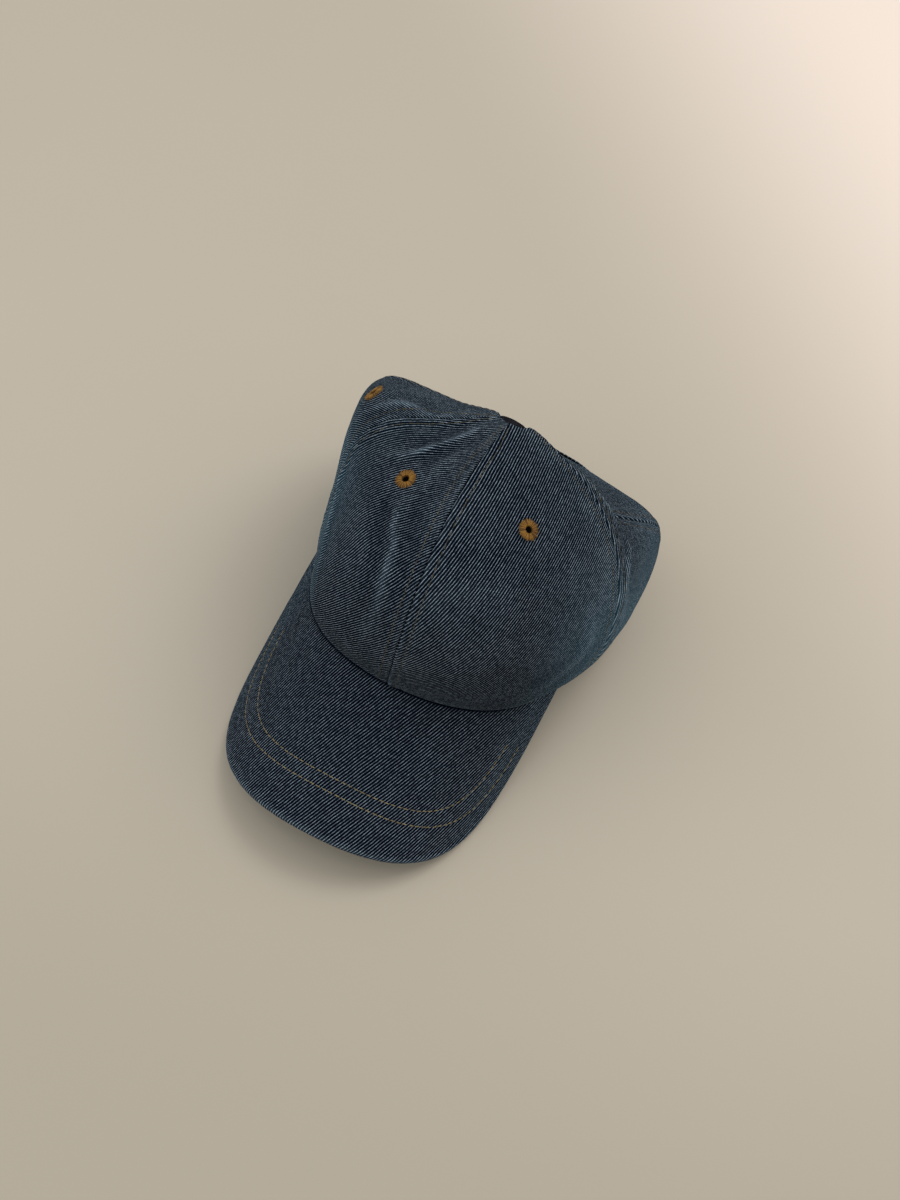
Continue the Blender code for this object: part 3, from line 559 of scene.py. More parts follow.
# ---------------------------------------------------------------- the cap's form
@dataclass
class CapForm:
    """The smooth shape of crown, brim and rear strap, as the part has it."""

    place: tuple[float, float, float]
    brim_length: float = 0.0755
    brim_half_width: float = 0.0855
    brim_seam_radius: float = 1.146 * 0.0855
    brim_bend_radius: float = 0.0690
    brim_droop: float = math.radians(20.6)
    brim_crest_height: float = 0.0489
    brim_side_round: float = 2.25
    brim_front_round: float = 3.8
    brim_board: float = 0.0016
    rear_radius: float = 0.078
    rear_centre: float = 0.110
    front_panel_width: float = 0.095
    panel: float = 0.0011
    ply_gap: float = 0.0006
    arch_half_width: float = 0.035
    arch_height: float = 0.042
    strap: float = 0.0014
    strap_low: float = 0.0035
    strap_high: float = 0.0225
    strap_half_angle: float = 48.0
    strap_travel: float = 18.0
    pocket_depth: float = 0.0030
    top: tuple[float, float, float] = (0.0000, 0.0994, 0.1287)
    # Two handles for each of the crown's twelve lines, every 30 degrees from the front. These tables were
    # worked out by fitting; they weren't chosen by hand.
    wall: tuple[tuple[float, float, float], ...] = (
        (0.008, -0.031, 0.112), (0.058, -0.014, 0.100), (0.096, 0.044, 0.074),
        (0.087, 0.099, 0.062), (0.085, 0.179, 0.082), (0.043, 0.185, 0.059),
        (0.000, 0.187, 0.054), (-0.042, 0.183, 0.062), (-0.080, 0.156, 0.079),
        (-0.066, 0.099, 0.096), (-0.060, 0.045, 0.094), (-0.033, -0.011, 0.108),
    )
    shoulder: tuple[tuple[float, float, float], ...] = (
        (-0.007, 0.029, 0.161), (0.033, 0.052, 0.158), (0.076, 0.085, 0.141),
        (0.093, 0.091, 0.102), (0.068, 0.082, 0.068), (0.034, 0.107, 0.073),
        (-0.004, 0.109, 0.077), (-0.042, 0.108, 0.088), (-0.080, 0.101, 0.114),
        (-0.092, 0.075, 0.142), (-0.067, 0.053, 0.149), (-0.037, 0.037, 0.153),
    )

    def bent(self, across: Array, along: Array, lift: Array | float = 0.0) -> Array:
        """Points of the bent brim from its flat measures, raised by lift."""
        across, along = np.asarray(across, float), np.asarray(along, float)
        turn = across / self.brim_bend_radius
        radius = self.brim_bend_radius + lift
        fall = self.brim_bend_radius - radius * np.cos(turn)
        cos, sin = math.cos(self.brim_droop), math.sin(self.brim_droop)
        y = -along * cos + fall * sin
        z = self.brim_crest_height - along * sin - fall * cos
        return np.stack([radius * np.sin(turn), y, z], -1) + np.array(self.place)

    def unbent(self, points: Array) -> tuple[Array, Array, Array]:
        """The flat measures and the lift over the board's middle of any places by the brim."""
        x, y, z = np.moveaxis(points - np.array(self.place), -1, 0)
        cos, sin = math.cos(self.brim_droop), math.sin(self.brim_droop)
        along = -(y * cos + (z - self.brim_crest_height) * sin)
        fall = y * sin - (z - self.brim_crest_height) * cos
        turn = np.arctan2(x, self.brim_bend_radius - fall)
        lift = np.hypot(x, self.brim_bend_radius - fall) - self.brim_bend_radius
        return turn * self.brim_bend_radius, along, lift

    def brim_meeting(self, lift: float) -> tuple[Array, Array, Array, Array]:
        """Where the crown's face crosses one level over the brim's board.

        Args:
            lift: the level, above the board's middle.

        Returns:
            Crown angles from right to left, and at each the brim's two flat measures and the
            distance up the crown from its rim.
        """
        angles = np.linspace(-BRIM_END_ANGLE, BRIM_END_ANGLE, 153)
        rises = np.linspace(0.0, 9.0 * MM, 37)
        across, along, rise = np.zeros(153), np.zeros(153), np.zeros(153)
        for index, angle in enumerate(angles):
            points = self.crown(np.full(37, angle), self.t_from_rim(angle, rises))
            u, v, height = self.unbent(points)
            height = np.maximum.accumulate(height + 1e-9 * np.arange(37))
            across[index], along[index] = np.interp(lift, height, u), np.interp(lift, height, v)
            rise[index] = np.interp(lift, height, rises)
        return angles, across, along, rise

    def seam_set_back(self, across: Array) -> Array:
        """How far the brim's inner edge lies behind its front centre, flat."""
        return self.brim_seam_radius - np.sqrt(self.brim_seam_radius**2 - np.asarray(across, float) ** 2)

    def front_edge(self, across: Array) -> Array:
        """How far the brim's outer edge lies in front of the crown seam, flat."""
        share = np.clip(np.abs(across) / self.brim_half_width, 0, 1)
        depth = self.brim_length + self.seam_set_back(self.brim_half_width)
        drop = 1 - (1 - share**self.brim_side_round) ** (1 / self.brim_front_round)
        return self.brim_length - depth * drop

    @cached_property
    def brim_seam_half(self) -> float:
        """Half the length of the seam between brim and crown."""
        return self.brim_seam_radius * math.asin(self.brim_half_width / self.brim_seam_radius)

    def brim_seam(self, arc: Array) -> Array:
        """The brim's inner edge at a distance from its front centre."""
        turn = np.asarray(arc, float) / self.brim_seam_radius
        along = -self.brim_seam_radius * (1 - np.cos(turn))
        return self.bent(self.brim_seam_radius * np.sin(turn), along, -self.brim_board / 2)

    @staticmethod
    def bezier(one: Array, two: Array, three: Array, four: Array, t: Array) -> Array:
        """A cubic curve through rows of handles."""
        t = np.asarray(t, float)[..., None]
        s = 1 - t
        return s**3 * one + 3 * s * s * t * two + 3 * s * t * t * three + t**3 * four

    @cached_property
    def link(self) -> tuple[tuple[Array, ...], Array, Array]:
        """The rim between brim corner and rear half circle: handles, steps and running length."""
        step = 1e-6
        ends = self.brim_seam(np.array([self.brim_seam_half - step, self.brim_seam_half]))
        heading = (ends[1] - ends[0]) / step
        end = np.array([self.rear_radius, self.rear_centre, 0.0]) + np.array(self.place)
        length = np.linalg.norm(end - ends[1])
        handles = (ends[1], ends[1] + 0.36 * length * heading, end - [0, 0.40 * length, 0], end)
        steps = np.linspace(0, 1, 101)
        return handles, steps, along_rows(self.bezier(*handles, steps))

    @cached_property
    def half_rim(self) -> float:
        """Half the length of the rim."""
        return self.brim_seam_half + float(self.link[2][-1]) + self.rear_radius * math.pi / 2

    def rim(self, angle: Array) -> Array:
        """The rim line: 60 degrees to a panel, from the front seam towards +X."""
        signed = from_front(np.asarray(angle, float))
        turn = np.abs(signed)
        front = self.front_panel_width
        handles, steps, length = self.link
        rear = front + (turn - 60) / 120 * (self.half_rim - front)
        arc = np.where(turn <= 60, turn / 60 * front, rear)
        on_brim = self.brim_seam(np.minimum(arc, self.brim_seam_half))
        link_arc = np.clip(arc - self.brim_seam_half, 0, length[-1])
        on_link = self.bezier(*handles, np.interp(link_arc, length, steps))
        sweep = np.maximum(arc - self.brim_seam_half - length[-1], 0) / self.rear_radius
        circle = [self.rear_radius * np.cos(sweep), self.rear_centre + self.rear_radius * np.sin(sweep)]
        on_circle = np.stack([*circle, np.zeros_like(sweep)], -1) + np.array(self.place)
        point = np.where((arc <= self.brim_seam_half)[..., None], on_brim, on_link)
        point = np.where((sweep > 0)[..., None], on_circle, point)
        centre = self.place[0]
        point[..., 0] = centre + (point[..., 0] - centre) * np.where(signed < 0, -1, 1)
        return point

    def _round(self, handles: Sequence[Sequence[float]], angle: Array) -> Array:
        """A smooth closed curve through evenly spaced handles."""
        table = np.array(handles) + np.array(self.place)
        count = len(table)
        turn = (np.asarray(angle, float) % 360) / (360 / count)
        index = np.floor(turn).astype(int) % count
        f = (turn - np.floor(turn))[..., None]
        before, here = table[(index - 1) % count], table[index]
        there, after = table[(index + 1) % count], table[(index + 2) % count]
        bow = 2 * before - 5 * here + 4 * there - after
        twist = -before + 3 * here - 3 * there + after
        return 0.5 * (2 * here + (there - before) * f + bow * f**2 + twist * f**3)

    @cached_property
    def summit(self) -> Array:
        """The very top of the crown."""
        return np.array(self.top) + np.array(self.place)

    def crown(self, angle: Array | float, t: Array | float) -> Array:
        """The crown's outer face: t runs from 0 at the rim to 1 at the top."""
        angle, t = np.broadcast_arrays(np.asarray(angle, float), np.asarray(t, float))
        wall, shoulder = self._round(self.wall, angle), self._round(self.shoulder, angle)
        return self.bezier(self.rim(angle), wall, shoulder, self.summit, t)

    def crown_normal(self, angle: Array | float, t: Array | float) -> Array:
        """The outward normal of the crown's outer face."""
        d_angle, d_t = 0.2, 0.002
        t = np.asarray(t, float)
        across = self.crown(angle + d_angle, t) - self.crown(angle - d_angle, t)
        above, below = np.minimum(t + d_t, 1 - d_t), np.minimum(t - d_t, 1 - 3 * d_t)
        up = self.crown(angle, above) - self.crown(angle, below)
        return unit(np.cross(across, up))

    def inside(self, angle: Array, t: Array, depth: Array | float) -> Array:
        """The crown's face moved inwards."""
        depth = np.broadcast_to(np.asarray(depth, float), np.broadcast(angle, t).shape)
        return self.crown(angle, t) - self.crown_normal(angle, t) * depth[..., None]

    def line(self, angle: float) -> tuple[Array, Array]:
        """t and the running length from the rim along one line of the crown."""
        t = np.linspace(0, 1, 201)
        return t, along_rows(self.crown(np.full(201, angle), t))

    def t_from_rim(self, angle: float, distance: Array | float) -> Array:
        """t at a distance from the rim."""
        t, length = self.line(angle)
        return np.interp(distance, length, t)

    def t_from_top(self, angle: float, distance: Array | float) -> Array:
        """t at a distance from the top."""
        t, length = self.line(angle)
        return np.interp(length[-1] - np.asarray(distance), length, t)

    def rear_angle(self, turn: Array | float) -> Array:
        """The crown angle at a turn round the rear half circle from its middle, in degrees."""
        per_metre = 120 / (self.half_rim - self.front_panel_width)
        return 180 - np.radians(turn) * self.rear_radius * per_metre

    def t_at_height(self, angle: float, height: float) -> float:
        """t where one line of the crown is at a height above the table."""
        t = np.linspace(0, 0.5, 101)
        return float(np.interp(height, self.crown(np.full(101, angle), t)[:, 2], t))

    def _least_reach(self, height: float) -> float:
        """The smallest reach of the crown's face from the rear centre over the strap's travel."""
        opening = math.degrees(math.asin(self.arch_half_width / self.rear_radius))
        centre = np.array(self.place)[:2] + [0.0, self.rear_centre]
        reaches = []
        for turn in np.linspace(opening, self.strap_half_angle + self.strap_travel, 9):
            for side in (turn, -turn):
                angle = float(self.rear_angle(side))
                point = self.crown(angle, self.t_at_height(angle, height))
                reaches.append(float(np.linalg.norm(point[:2] - centre)))
        return min(reaches)

    @cached_property
    def strap_cone(self) -> tuple[float, float]:
        """The strap's radius at its middle line, and how far it leans in per metre of height."""
        low = self._least_reach(self.strap_low) - self.pocket_depth
        high = self._least_reach(self.strap_high) - self.pocket_depth
        return (low + high) / 2, (low - high) / (self.strap_high - self.strap_low)

    @property
    def strap_middle(self) -> float:
        """The height of the strap's middle line."""
        return (self.strap_low + self.strap_high) / 2

    @cached_property
    def strap_half(self) -> float:
        """Half the strap's width, up its slope."""
        return (self.strap_high - self.strap_low) / 2 * math.hypot(1.0, self.strap_cone[1])

    def strap_axes(self, turn: Array | float) -> tuple[Array, Array, Array]:
        """Unit vectors at a turn round the rear: along the strap, up its face, and outwards."""
        turn = np.radians(np.asarray(turn, float))
        zero = np.zeros_like(turn)
        lean = self.strap_cone[1]
        outward = np.stack([np.sin(turn), np.cos(turn), zero], -1)
        along = np.stack([np.cos(turn), -np.sin(turn), zero], -1)
        slant = math.hypot(1.0, lean)
        up = (np.array([0.0, 0.0, 1.0]) - lean * outward) / slant
        return along, up, (outward + np.array([0.0, 0.0, lean])) / slant

    def on_strap(self, turn: Array | float, rise: Array | float, off: Array | float) -> Array:
        """A point off the strap's outer face: turn in degrees, rise up its slope from the middle."""
        turn, rise, off = np.broadcast_arrays(*(np.asarray(v, float) for v in (turn, rise, off)))
        radius = self.strap_cone[0]
        radians = np.radians(turn)
        across, along = radius * np.sin(radians), self.rear_centre + radius * np.cos(radians)
        middle = np.stack([across, along, np.full(turn.shape, self.strap_middle)], -1) + np.array(self.place)
        _, up, face = self.strap_axes(turn)
        return middle + rise[..., None] * up + off[..., None] * face

    def rear_face(self, x: float, z: float) -> tuple[float, float]:
        """The crown angle and t of the rear face at a place seen from behind."""
        angle = float(self.rear_angle(math.degrees(math.asin(max(-0.9, min(0.9, x / self.rear_radius))))))
        t = self.t_at_height(angle, z)
        goal = np.array([x + self.place[0], z])
        for _ in range(12):
            here = self.crown(angle, t)[[0, 2]]
            by_angle = (self.crown(angle + 0.1, t)[[0, 2]] - here) / 0.1
            by_t = (self.crown(angle, t + 1e-4)[[0, 2]] - here) / 1e-4
            step = np.linalg.solve(np.stack([by_angle, by_t], 1), goal - here)
            angle, t = angle + float(step[0]), t + float(step[1])
        return angle, t


# ---------------------------------------------------------------- making cloth and stitches
@dataclass
class Cloth:
    """One piece of cloth as a fine grid of points."""

    name: str
    points: Array
    measures: Array
    thickness: float
    wear_and_shade: Array | None = None
    shade: Array | None = None
    drop: Array | None = None

    def build(
        self, outside: bpy.types.Material, inside: bpy.types.Material | None = None
    ) -> bpy.types.Object:
        """Makes the sheet, with its measures as a UV map, its rubbed paleness and painted crease shade as one
        attribute, and its painted light and shade as another.

        Args:
            outside: the material of the face that looks outwards.
            inside: the material of the other face, where it differs.

        Returns:
            The finished piece.
        """
        rows, columns = self.points.shape[:2]
        bm = bmesh.new()
        bmesh.ops.create_grid(bm, x_segments=columns - 1, y_segments=rows - 1, size=1)
        bm.verts.ensure_lookup_table()
        flat = self.points.reshape(-1, 3)
        measures = self.measures.reshape(-1, 2)
        wear_and_shade = bm.verts.layers.float.new("wear_and_shade")
        shade = bm.verts.layers.float.new("shade")
        wear_and_shade_values = np.zeros(len(flat)) if self.wear_and_shade is None else self.wear_and_shade.reshape(-1)
        tint = np.zeros(len(flat)) if self.shade is None else self.shade.reshape(-1)
        for vertex in bm.verts:
            vertex.co = flat[vertex.index]
            vertex[wear_and_shade] = wear_and_shade_values[vertex.index]
            vertex[shade] = tint[vertex.index]
        cloth = bm.loops.layers.uv.new("cloth")
        for face in bm.faces:
            face.smooth = True
            for loop in face.loops:
                loop[cloth].uv = measures[loop.vert.index]
        if self.drop is not None:
            gone = self.drop.reshape(-1)
            bmesh.ops.delete(bm, geom=[v for v in bm.verts if gone[v.index]], context="VERTS")
        obj = to_object(self.name, bm, outside)
        wall = obj.modifiers.new("cloth", "SOLIDIFY")
        wall.thickness = self.thickness
        wall.offset = -1
        if inside is not None:
            obj.data.materials.append(inside)
            wall.material_offset = 1
        return obj


def to_object(name: str, bm: bmesh.types.BMesh, *materials: bpy.types.Material) -> bpy.types.Object:
    """A named object at the origin from a bmesh."""
    mesh = bpy.data.meshes.new(name)
    bm.to_mesh(mesh)
    bm.free()
    obj = bpy.data.objects.new(name, mesh)
    bpy.context.scene.collection.objects.link(obj)
    for item in materials:
        mesh.materials.append(item)
    return obj


def turned(profile: Sequence[tuple[float, float]], steps: int, closed: bool) -> bmesh.types.BMesh:
    """A profile turned once round Z.

    Args:
        profile: the radius and height of each of its points.
        steps: faces round the axis.
        closed: True where the last point joins the first.

    Returns:
        The bmesh, whose normals are still to be set.
    """
    bm = bmesh.new()
    ring = [bm.verts.new((radius, 0.0, height)) for radius, height in profile]
    following = [*ring[1:], ring[0]] if closed else ring[1:]
    edges = [bm.edges.new(pair) for pair in zip(ring, following)]
    bmesh.ops.spin(bm, geom=ring + edges, axis=(0, 0, 1), cent=(0, 0, 0), angle=math.tau,
                   steps=steps, use_merge=True)
    return bm


def axes(origin: Array, along: Array, outward: Array) -> Matrix:
    """A placement: Z along a direction, and X turned outwards."""
    z = unit(along)
    x = unit(outward - (outward @ z) * z)
    y = np.cross(z, x)
    return Matrix.Translation(Vector(origin)) @ Matrix(np.stack([x, y, z], 1).tolist()).to_4x4()


@dataclass
class Sewing:
    """Rows of stitches, each a short bright bead of thread that dips at its ends."""

    name: str
    length: float = 2.7 * MM
    gap: float = 0.55 * MM
    radius: float = 0.27 * MM
    seed: int = 3
    spots: list[Matrix] = field(default_factory=list)

    def row(self, path: Array, outward: Array, proud: float = 0.05 * MM) -> None:
        """Adds one row of stitches.

        Args:
            path: the points of the row, on the cloth.
            outward: the cloth's normal at each point.
            proud: how far the thread's middle stands off the cloth.
        """
        reach = along_rows(path)
        pitch = self.length + self.gap
        count = max(1, int(reach[-1] / pitch))
        rng = np.random.default_rng(self.seed + count)
        starts = (np.arange(count) + 0.5) * reach[-1] / count
        starts = starts + rng.uniform(-0.10, 0.10, count) * pitch
        for middle in starts:
            ends = [self._at(reach, path, middle + side * self.length / 2) for side in (-1, 1)]
            normal = unit(self._at(reach, outward, middle))
            centre = (ends[0] + ends[1]) / 2 + normal * proud
            centre = centre + np.cross(normal, unit(ends[1] - ends[0])) * rng.uniform(-0.07, 0.07) * MM
            long = np.linalg.norm(ends[1] - ends[0]) / 2
            scale = Matrix.Diagonal((self.radius, self.radius * 1.1, long, 1.0))
            self.spots.append(axes(centre, ends[1] - ends[0], normal) @ scale)

    @staticmethod
    def _at(reach: Array, values: Array, distance: float) -> Array:
        """Values along a path at a distance from its start."""
        return np.array([np.interp(distance, reach, values[:, axis]) for axis in range(3)])

    def build(self, thread: bpy.types.Material) -> bpy.types.Object:
        """Makes all the rows as one piece."""
        return to_object(self.name, beads(self.spots), thread)


def beads(spots: Sequence[Matrix], around: int = 7, along: int = 5) -> bmesh.types.BMesh:
    """Many small beads of thread in one bmesh.

    Args:
        spots: the placement and size of each bead, whose length runs along Z.
        around: faces round a bead.
        along: faces from end to end.

    Returns:
        The bmesh, smoothly shaded.
    """
    whole = bmesh.new()
    bunch = 24
    for start in range(0, len(spots), bunch):
        few = bmesh.new()
        for spot in spots[start:start + bunch]:
            bmesh.ops.create_uvsphere(few, u_segments=around, v_segments=along, radius=1.0, matrix=spot)
        for face in few.faces:
            face.smooth = True
        held = bpy.data.meshes.new("bunch")
        few.to_mesh(held)
        few.free()
        whole.from_mesh(held)
        bpy.data.meshes.remove(held)
    return whole


def declare(obj: bpy.types.Object, body: str, nodes: Iterable[str] = ()) -> bpy.types.Object:
    """Hangs a piece on its body, and hides the CAD nodes that it stands for."""
    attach(obj, body)
    names = list(nodes)
    if names:
        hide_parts(*names)
    LOG.info("%s: %d faces, rides on %s", obj.name, len(obj.data.polygons), body)
    return obj


# ---------------------------------------------------------------- crown
@dataclass(frozen=True)
class Crease:
    """A fold of the settled cloth: its line on the crown, its size, and how pale its crest is."""

    spots: tuple[tuple[float, float], ...]
    height: float
    width: float
    pale: float = 0.8
    far: float = 48.0     # degrees from a panel's middle beyond which it has no part in the panel

    def shape(self, form: CapForm, points: Array, middle: float) -> tuple[Array, Array]:
        """What this crease adds to one panel.

        Args:
            form: the crown's form.
            points: the panel's places.
            middle: the crown angle of the panel's middle.

        Returns:
            The height, and at each place how much the cloth pales on the crest from rubbing, less the painted
            shade in the troughs beside it.
        """
        angles, ts = np.array(self.spots).T
        if np.abs(from_front(angles - middle)).min() > self.far:
            return np.zeros(points.shape[:-1]), np.zeros(points.shape[:-1])
        steps = np.linspace(0, len(angles) - 1, 8 * (len(angles) - 1) + 1)
        index = np.arange(len(angles))
        path = form.crown(np.interp(steps, index, angles), np.interp(steps, index, ts))
        for _ in range(12):
            path[1:-1] = path[1:-1] * 0.5 + (path[2:] + path[:-2]) * 0.25
        gap, along = path_distance(points, path)
        ends = np.sin(np.clip(along, 0.02, 0.98) * math.pi) ** 0.6
        ridge = np.exp(-((gap / self.width) ** 1.5)) - 0.24 * bell(gap, 2.4 * self.width, 1.1 * self.width)
        patchy = 0.75 + 0.35 * rumple(points, 4.5 * MM, 51) + 0.20 * rumple(points, 1.7 * MM, 52)
        # The crest pales from rubbing; the troughs either side take painted shade.
        crest = self.pale * np.exp(-((gap / (0.55 * self.width)) ** 2)) * patchy
        trough = 0.34 * bell(gap, 2.2 * self.width, 1.2 * self.width)
        return self.height * ridge * ends, (crest - trough) * ends


PANEL_NAMES = ("front_right", "side_right", "back_right", "back_left", "side_left", "front_left")
SEAM_NAMES = ("front", "front_right", "back_right", "back", "back_left", "front_left")
# Each spot is a crown angle and a t. Most of them were worked out by mapping and weren't chosen by hand.
CREASES = (
    Crease(((-36.0, 0.915), (-34.0, 0.896), (-32.5, 0.854), (-34.0, 0.812), (-36.0, 0.775), (-37.5, 0.738),
            (-39.5, 0.708), (-44.0, 0.675)), 1.7 * MM, 2.3 * MM, 1.0),
    Crease(((-37.0, 0.765), (-42.0, 0.705), (-49.0, 0.630)), 0.6 * MM, 5.0 * MM, 0.40),
    Crease(((-72.0, 0.930), (-64.5, 0.875), (-60.5, 0.829), (-67.0, 0.804), (-74.5, 0.775), (-77.5, 0.738),
            (-77.0, 0.675), (-78.5, 0.617), (-78.5, 0.554), (-77.0, 0.500)), 1.5 * MM, 2.3 * MM, 0.85),
    Crease(((-23.0, 0.870), (-20.0, 0.800), (-21.0, 0.738), (-21.0, 0.688), (-22.5, 0.600), (-20.0, 0.550),
            (-14.5, 0.520), (-13.0, 0.470), (-12.0, 0.425), (-10.0, 0.354), (-10.0, 0.279), (-11.5, 0.179)),
           1.2 * MM, 3.4 * MM, 0.55),
    Crease(((-67.0, 0.475), (-64.5, 0.446), (-60.5, 0.430), (-51.0, 0.367), (-43.5, 0.242), (-38.0, 0.142)),
           1.1 * MM, 2.2 * MM, 0.65),
    Crease(((54.0, 0.900), (58.0, 0.846), (66.0, 0.800), (70.0, 0.750), (73.0, 0.700), (76.0, 0.650),
            (74.5, 0.608), (66.5, 0.537), (64.0, 0.490), (62.0, 0.440)), 1.5 * MM, 2.4 * MM, 0.85),
    Crease(((50.0, 0.420), (53.0, 0.330), (48.0, 0.220), (40.0, 0.120)), 0.7 * MM, 4.0 * MM, 0.45),
)


LEFT_FRONT_SEAM = 5
SEAM_SWING = 7.8             # degrees, at the middle of its stretch of t
SWING_MIDDLE, SWING_SPAN = 0.62, 0.19


def seam_angle(number: int, t: Array) -> Array:
    """A seam's crown angle: the left front one swings back where the cloth slid over the shoulder."""
    t = np.asarray(t, float)
    angle = np.full(t.shape, PANEL_ANGLE * number)
    if number % len(SEAM_NAMES) == LEFT_FRONT_SEAM:
        angle = angle - SEAM_SWING * np.exp(-(((t - SWING_MIDDLE) / SWING_SPAN) ** 4))
    return angle


@dataclass
class Crown:
    """The six panels, their seams, stitches, eyelets, tapes and the covered button."""

    form: CapForm
    wardrobe: Wardrobe
    cloth: float = 0.95 * MM
    top_hole: float = 3.2 * MM
    pressed: float = 0.6 * MM
    eyelets_from_top: tuple[float, ...] = (61.5 * MM, 63 * MM, 63 * MM, 63 * MM, 67 * MM, 63 * MM)
    eyelet_radius: float = 4.8 * MM
    eyelet_bore: float = 1.6 * MM
    stitch_from_seam: float = 4.2 * MM
    rows: int = 200
    near: tuple[float, ...] = (
        0.04, 0.3, 0.6, 0.85, 1.15, 1.5, 2.0, 2.6, 3.2, 3.7, 4.2, 4.7, 5.2, 5.8, 6.5, 7.6, 9.2, 11.4, 14.0,
    )
    middle_columns: int = 72
    full_width: float = 0.036        # where a panel is narrower, its seams' relief shrinks with it
    hem_span: float = 7.0 * MM       # the closely spaced rows over the hem
    hem_grid_rows: int = 20
    tape: float = 0.55 * MM
    tape_width: float = 0.011
    tape_start: float = 0.024        # from the rim
    back_tape_start: float = 0.062   # above the back opening
    tape_end: float = 0.0125         # short of the top
    button_radius: float = 6.5 * MM
    button_height: float = 2.1 * MM
    top_rows: Sewing = field(default_factory=lambda: Sewing("stitching_crown_seams"))
    hem_rows: Sewing = field(default_factory=lambda: Sewing("stitching_crown_hem", seed=11))

    def build(self) -> None:
        """Makes every piece of the crown."""
        for number, name in enumerate(PANEL_NAMES):
            self.build_panel(number, name)
        declare(self.top_rows.build(self.wardrobe.of(self.wardrobe.washed)), BODY)
        declare(self.hem_rows.build(self.wardrobe.of(self.wardrobe.navy)), BODY)
        self.build_tapes()
        self.build_button()

    @cached_property
    def meeting(self) -> tuple[Array, Array]:
        """Crown angles, and how far up each the brim's face meets the crown."""
        angles, _, _, rise = self.form.brim_meeting(self.form.brim_board / 2 + BRIM_FACE)
        return angles, rise

    @cached_property
    def top_axis(self) -> Array:
        """The way the very top of the crown faces."""
        angle, t = np.meshgrid(np.arange(0, 360, 10.0), [0.90, 0.93, 0.96, 0.98, 0.995], indexing="ij")
        return unit(self.form.crown_normal(angle, t).reshape(-1, 3).mean(0))

    def _under_button(self, points: Array) -> Array:
        """The cloth round the top, pressed down by the button."""
        high = (points - self.form.summit) @ self.top_axis + self.pressed
        out = np.linalg.norm(points - self.form.summit, axis=-1)
        down = np.maximum(high, 0.0) * (1 - smooth_step(out, 6.6 * MM, 8.4 * MM))
        return points - down[..., None] * self.top_axis

    def _lay_out(self, number: int) -> tuple[Array, Array, Array, Array, Array]:
        """Angles, t, and the distances to both seams and from the rim, over one panel."""
        t_mid, length = self.form.line(PANEL_ANGLE * (number + 0.5))
        end = length[-1] - self.top_hole
        hem = np.linspace(0.0, self.hem_span, self.hem_grid_rows, endpoint=False)
        rise = np.concatenate([hem, np.linspace(self.hem_span, end, self.rows - self.hem_grid_rows)])
        t = np.interp(rise, length, t_mid)
        first, last = seam_angle(number, t), seam_angle(number + 1, t)
        angles = first[:, None] + (last - first)[:, None] * np.linspace(0.0, 1.0, 41)
        fine = self.form.crown(angles, t[:, None])
        reach = along_rows(fine)
        near = np.array(self.near) * MM
        columns = 2 * len(near) + self.middle_columns
        angle = np.zeros((len(t), columns))
        left = np.zeros_like(angle)
        width = reach[:, -1]
        for row in range(len(t)):
            scale = min(1.0, width[row] / self.full_width)
            edge = near * scale
            inner = np.linspace(edge[-1], width[row] - edge[-1], self.middle_columns + 2)[1:-1]
            spots = np.concatenate([edge, inner, (width[row] - edge)[::-1]])
            angle[row] = np.interp(spots, reach[row], angles[row])
            left[row] = spots
        t_grid = np.repeat(t[:, None], columns, axis=1)
        rise_grid = np.repeat(rise[:, None], columns, axis=1)
        return angle, t_grid, left, width[:, None] - left, rise_grid

    def build_panel(self, number: int, name: str) -> None:
        """Makes one panel with its rows of stitches and its eyelet."""
        angle, t, left, right, rise = self._lay_out(number)
        form = self.form
        base = form.crown(angle, t)
        normal = form.crown_normal(angle, t)
        middle = PANEL_ANGLE * (number + 0.5)
        t_eye = float(form.t_from_top(middle, self.eyelets_from_top[number]))
        eye = form.crown(middle, t_eye)
        to_eye = np.linalg.norm(base - eye, axis=-1)
        calm = smooth_step(to_eye, 6.5 * MM, 16 * MM)
        scale = np.minimum(1.0, (left + right) / self.full_width)
        near = np.minimum(left, right) / scale
        front = number in (0, 5)
        folded = np.where(left < right, 1.0, 0.55)
        lip = -0.45 * MM * np.exp(-((near / (0.42 * MM)) ** 2))
        if number < 2:
            lip = np.where((left < right) == (number == 1), 0.35 * lip, lip)
        band = smooth_step(near, 0.2 * MM, 1.1 * MM) * (1 - smooth_step(near, 4.9 * MM, 6.6 * MM))
        band = 0.45 * MM * band * folded
        groove = -0.20 * MM * bell(near, self.stitch_from_seam, 0.42 * MM)
        wander = rumple(base, 13 * MM, 21 + number)
        pucker = np.sin(rise / (7.4 * MM) * math.tau + 5.0 * wander + number)
        pucker = 0.13 * MM * pucker * np.exp(-near / (5.5 * MM)) * smooth_step(near, 0.4 * MM, 1.6 * MM)
        hem = 0.40 * MM * (1 - smooth_step(rise, 5.4 * MM, 7.0 * MM)) * smooth_step(rise, 0.0, 1.2 * MM)
        hem = hem - 0.75 * MM * np.exp(-((rise / (0.7 * MM)) ** 2))
        turn = from_front(angle)
        foot = np.interp(turn, *self.meeting, left=0.0, right=0.0)
        on_brim = smooth_step(BRIM_END_ANGLE - np.abs(turn), 0.0, 6.0)
        over = rise - foot
        step = smooth_step(over, 0.5 * MM, 1.3 * MM) * (1 - 0.7 * smooth_step(over, 2.2 * MM, 6.0 * MM))
        hem = hem + (0.75 * MM * step - 0.15 * MM - hem) * on_brim
        hem_groove = 0.0 if front else -0.18 * MM * bell(rise, 4.6 * MM, 0.5 * MM)
        folds = [crease.shape(form, base, middle) for crease in CREASES]
        creases = sum((fold[0] for fold in folds), np.zeros_like(t))
        pale = sum((fold[1] for fold in folds), np.zeros_like(t))
        soft = 0.55 * MM * rumple(base, 38 * MM, 5) + 0.34 * MM * rumple(base, 17 * MM, 6)
        soft = soft + 0.12 * MM * rumple(base, 7.5 * MM, 7)
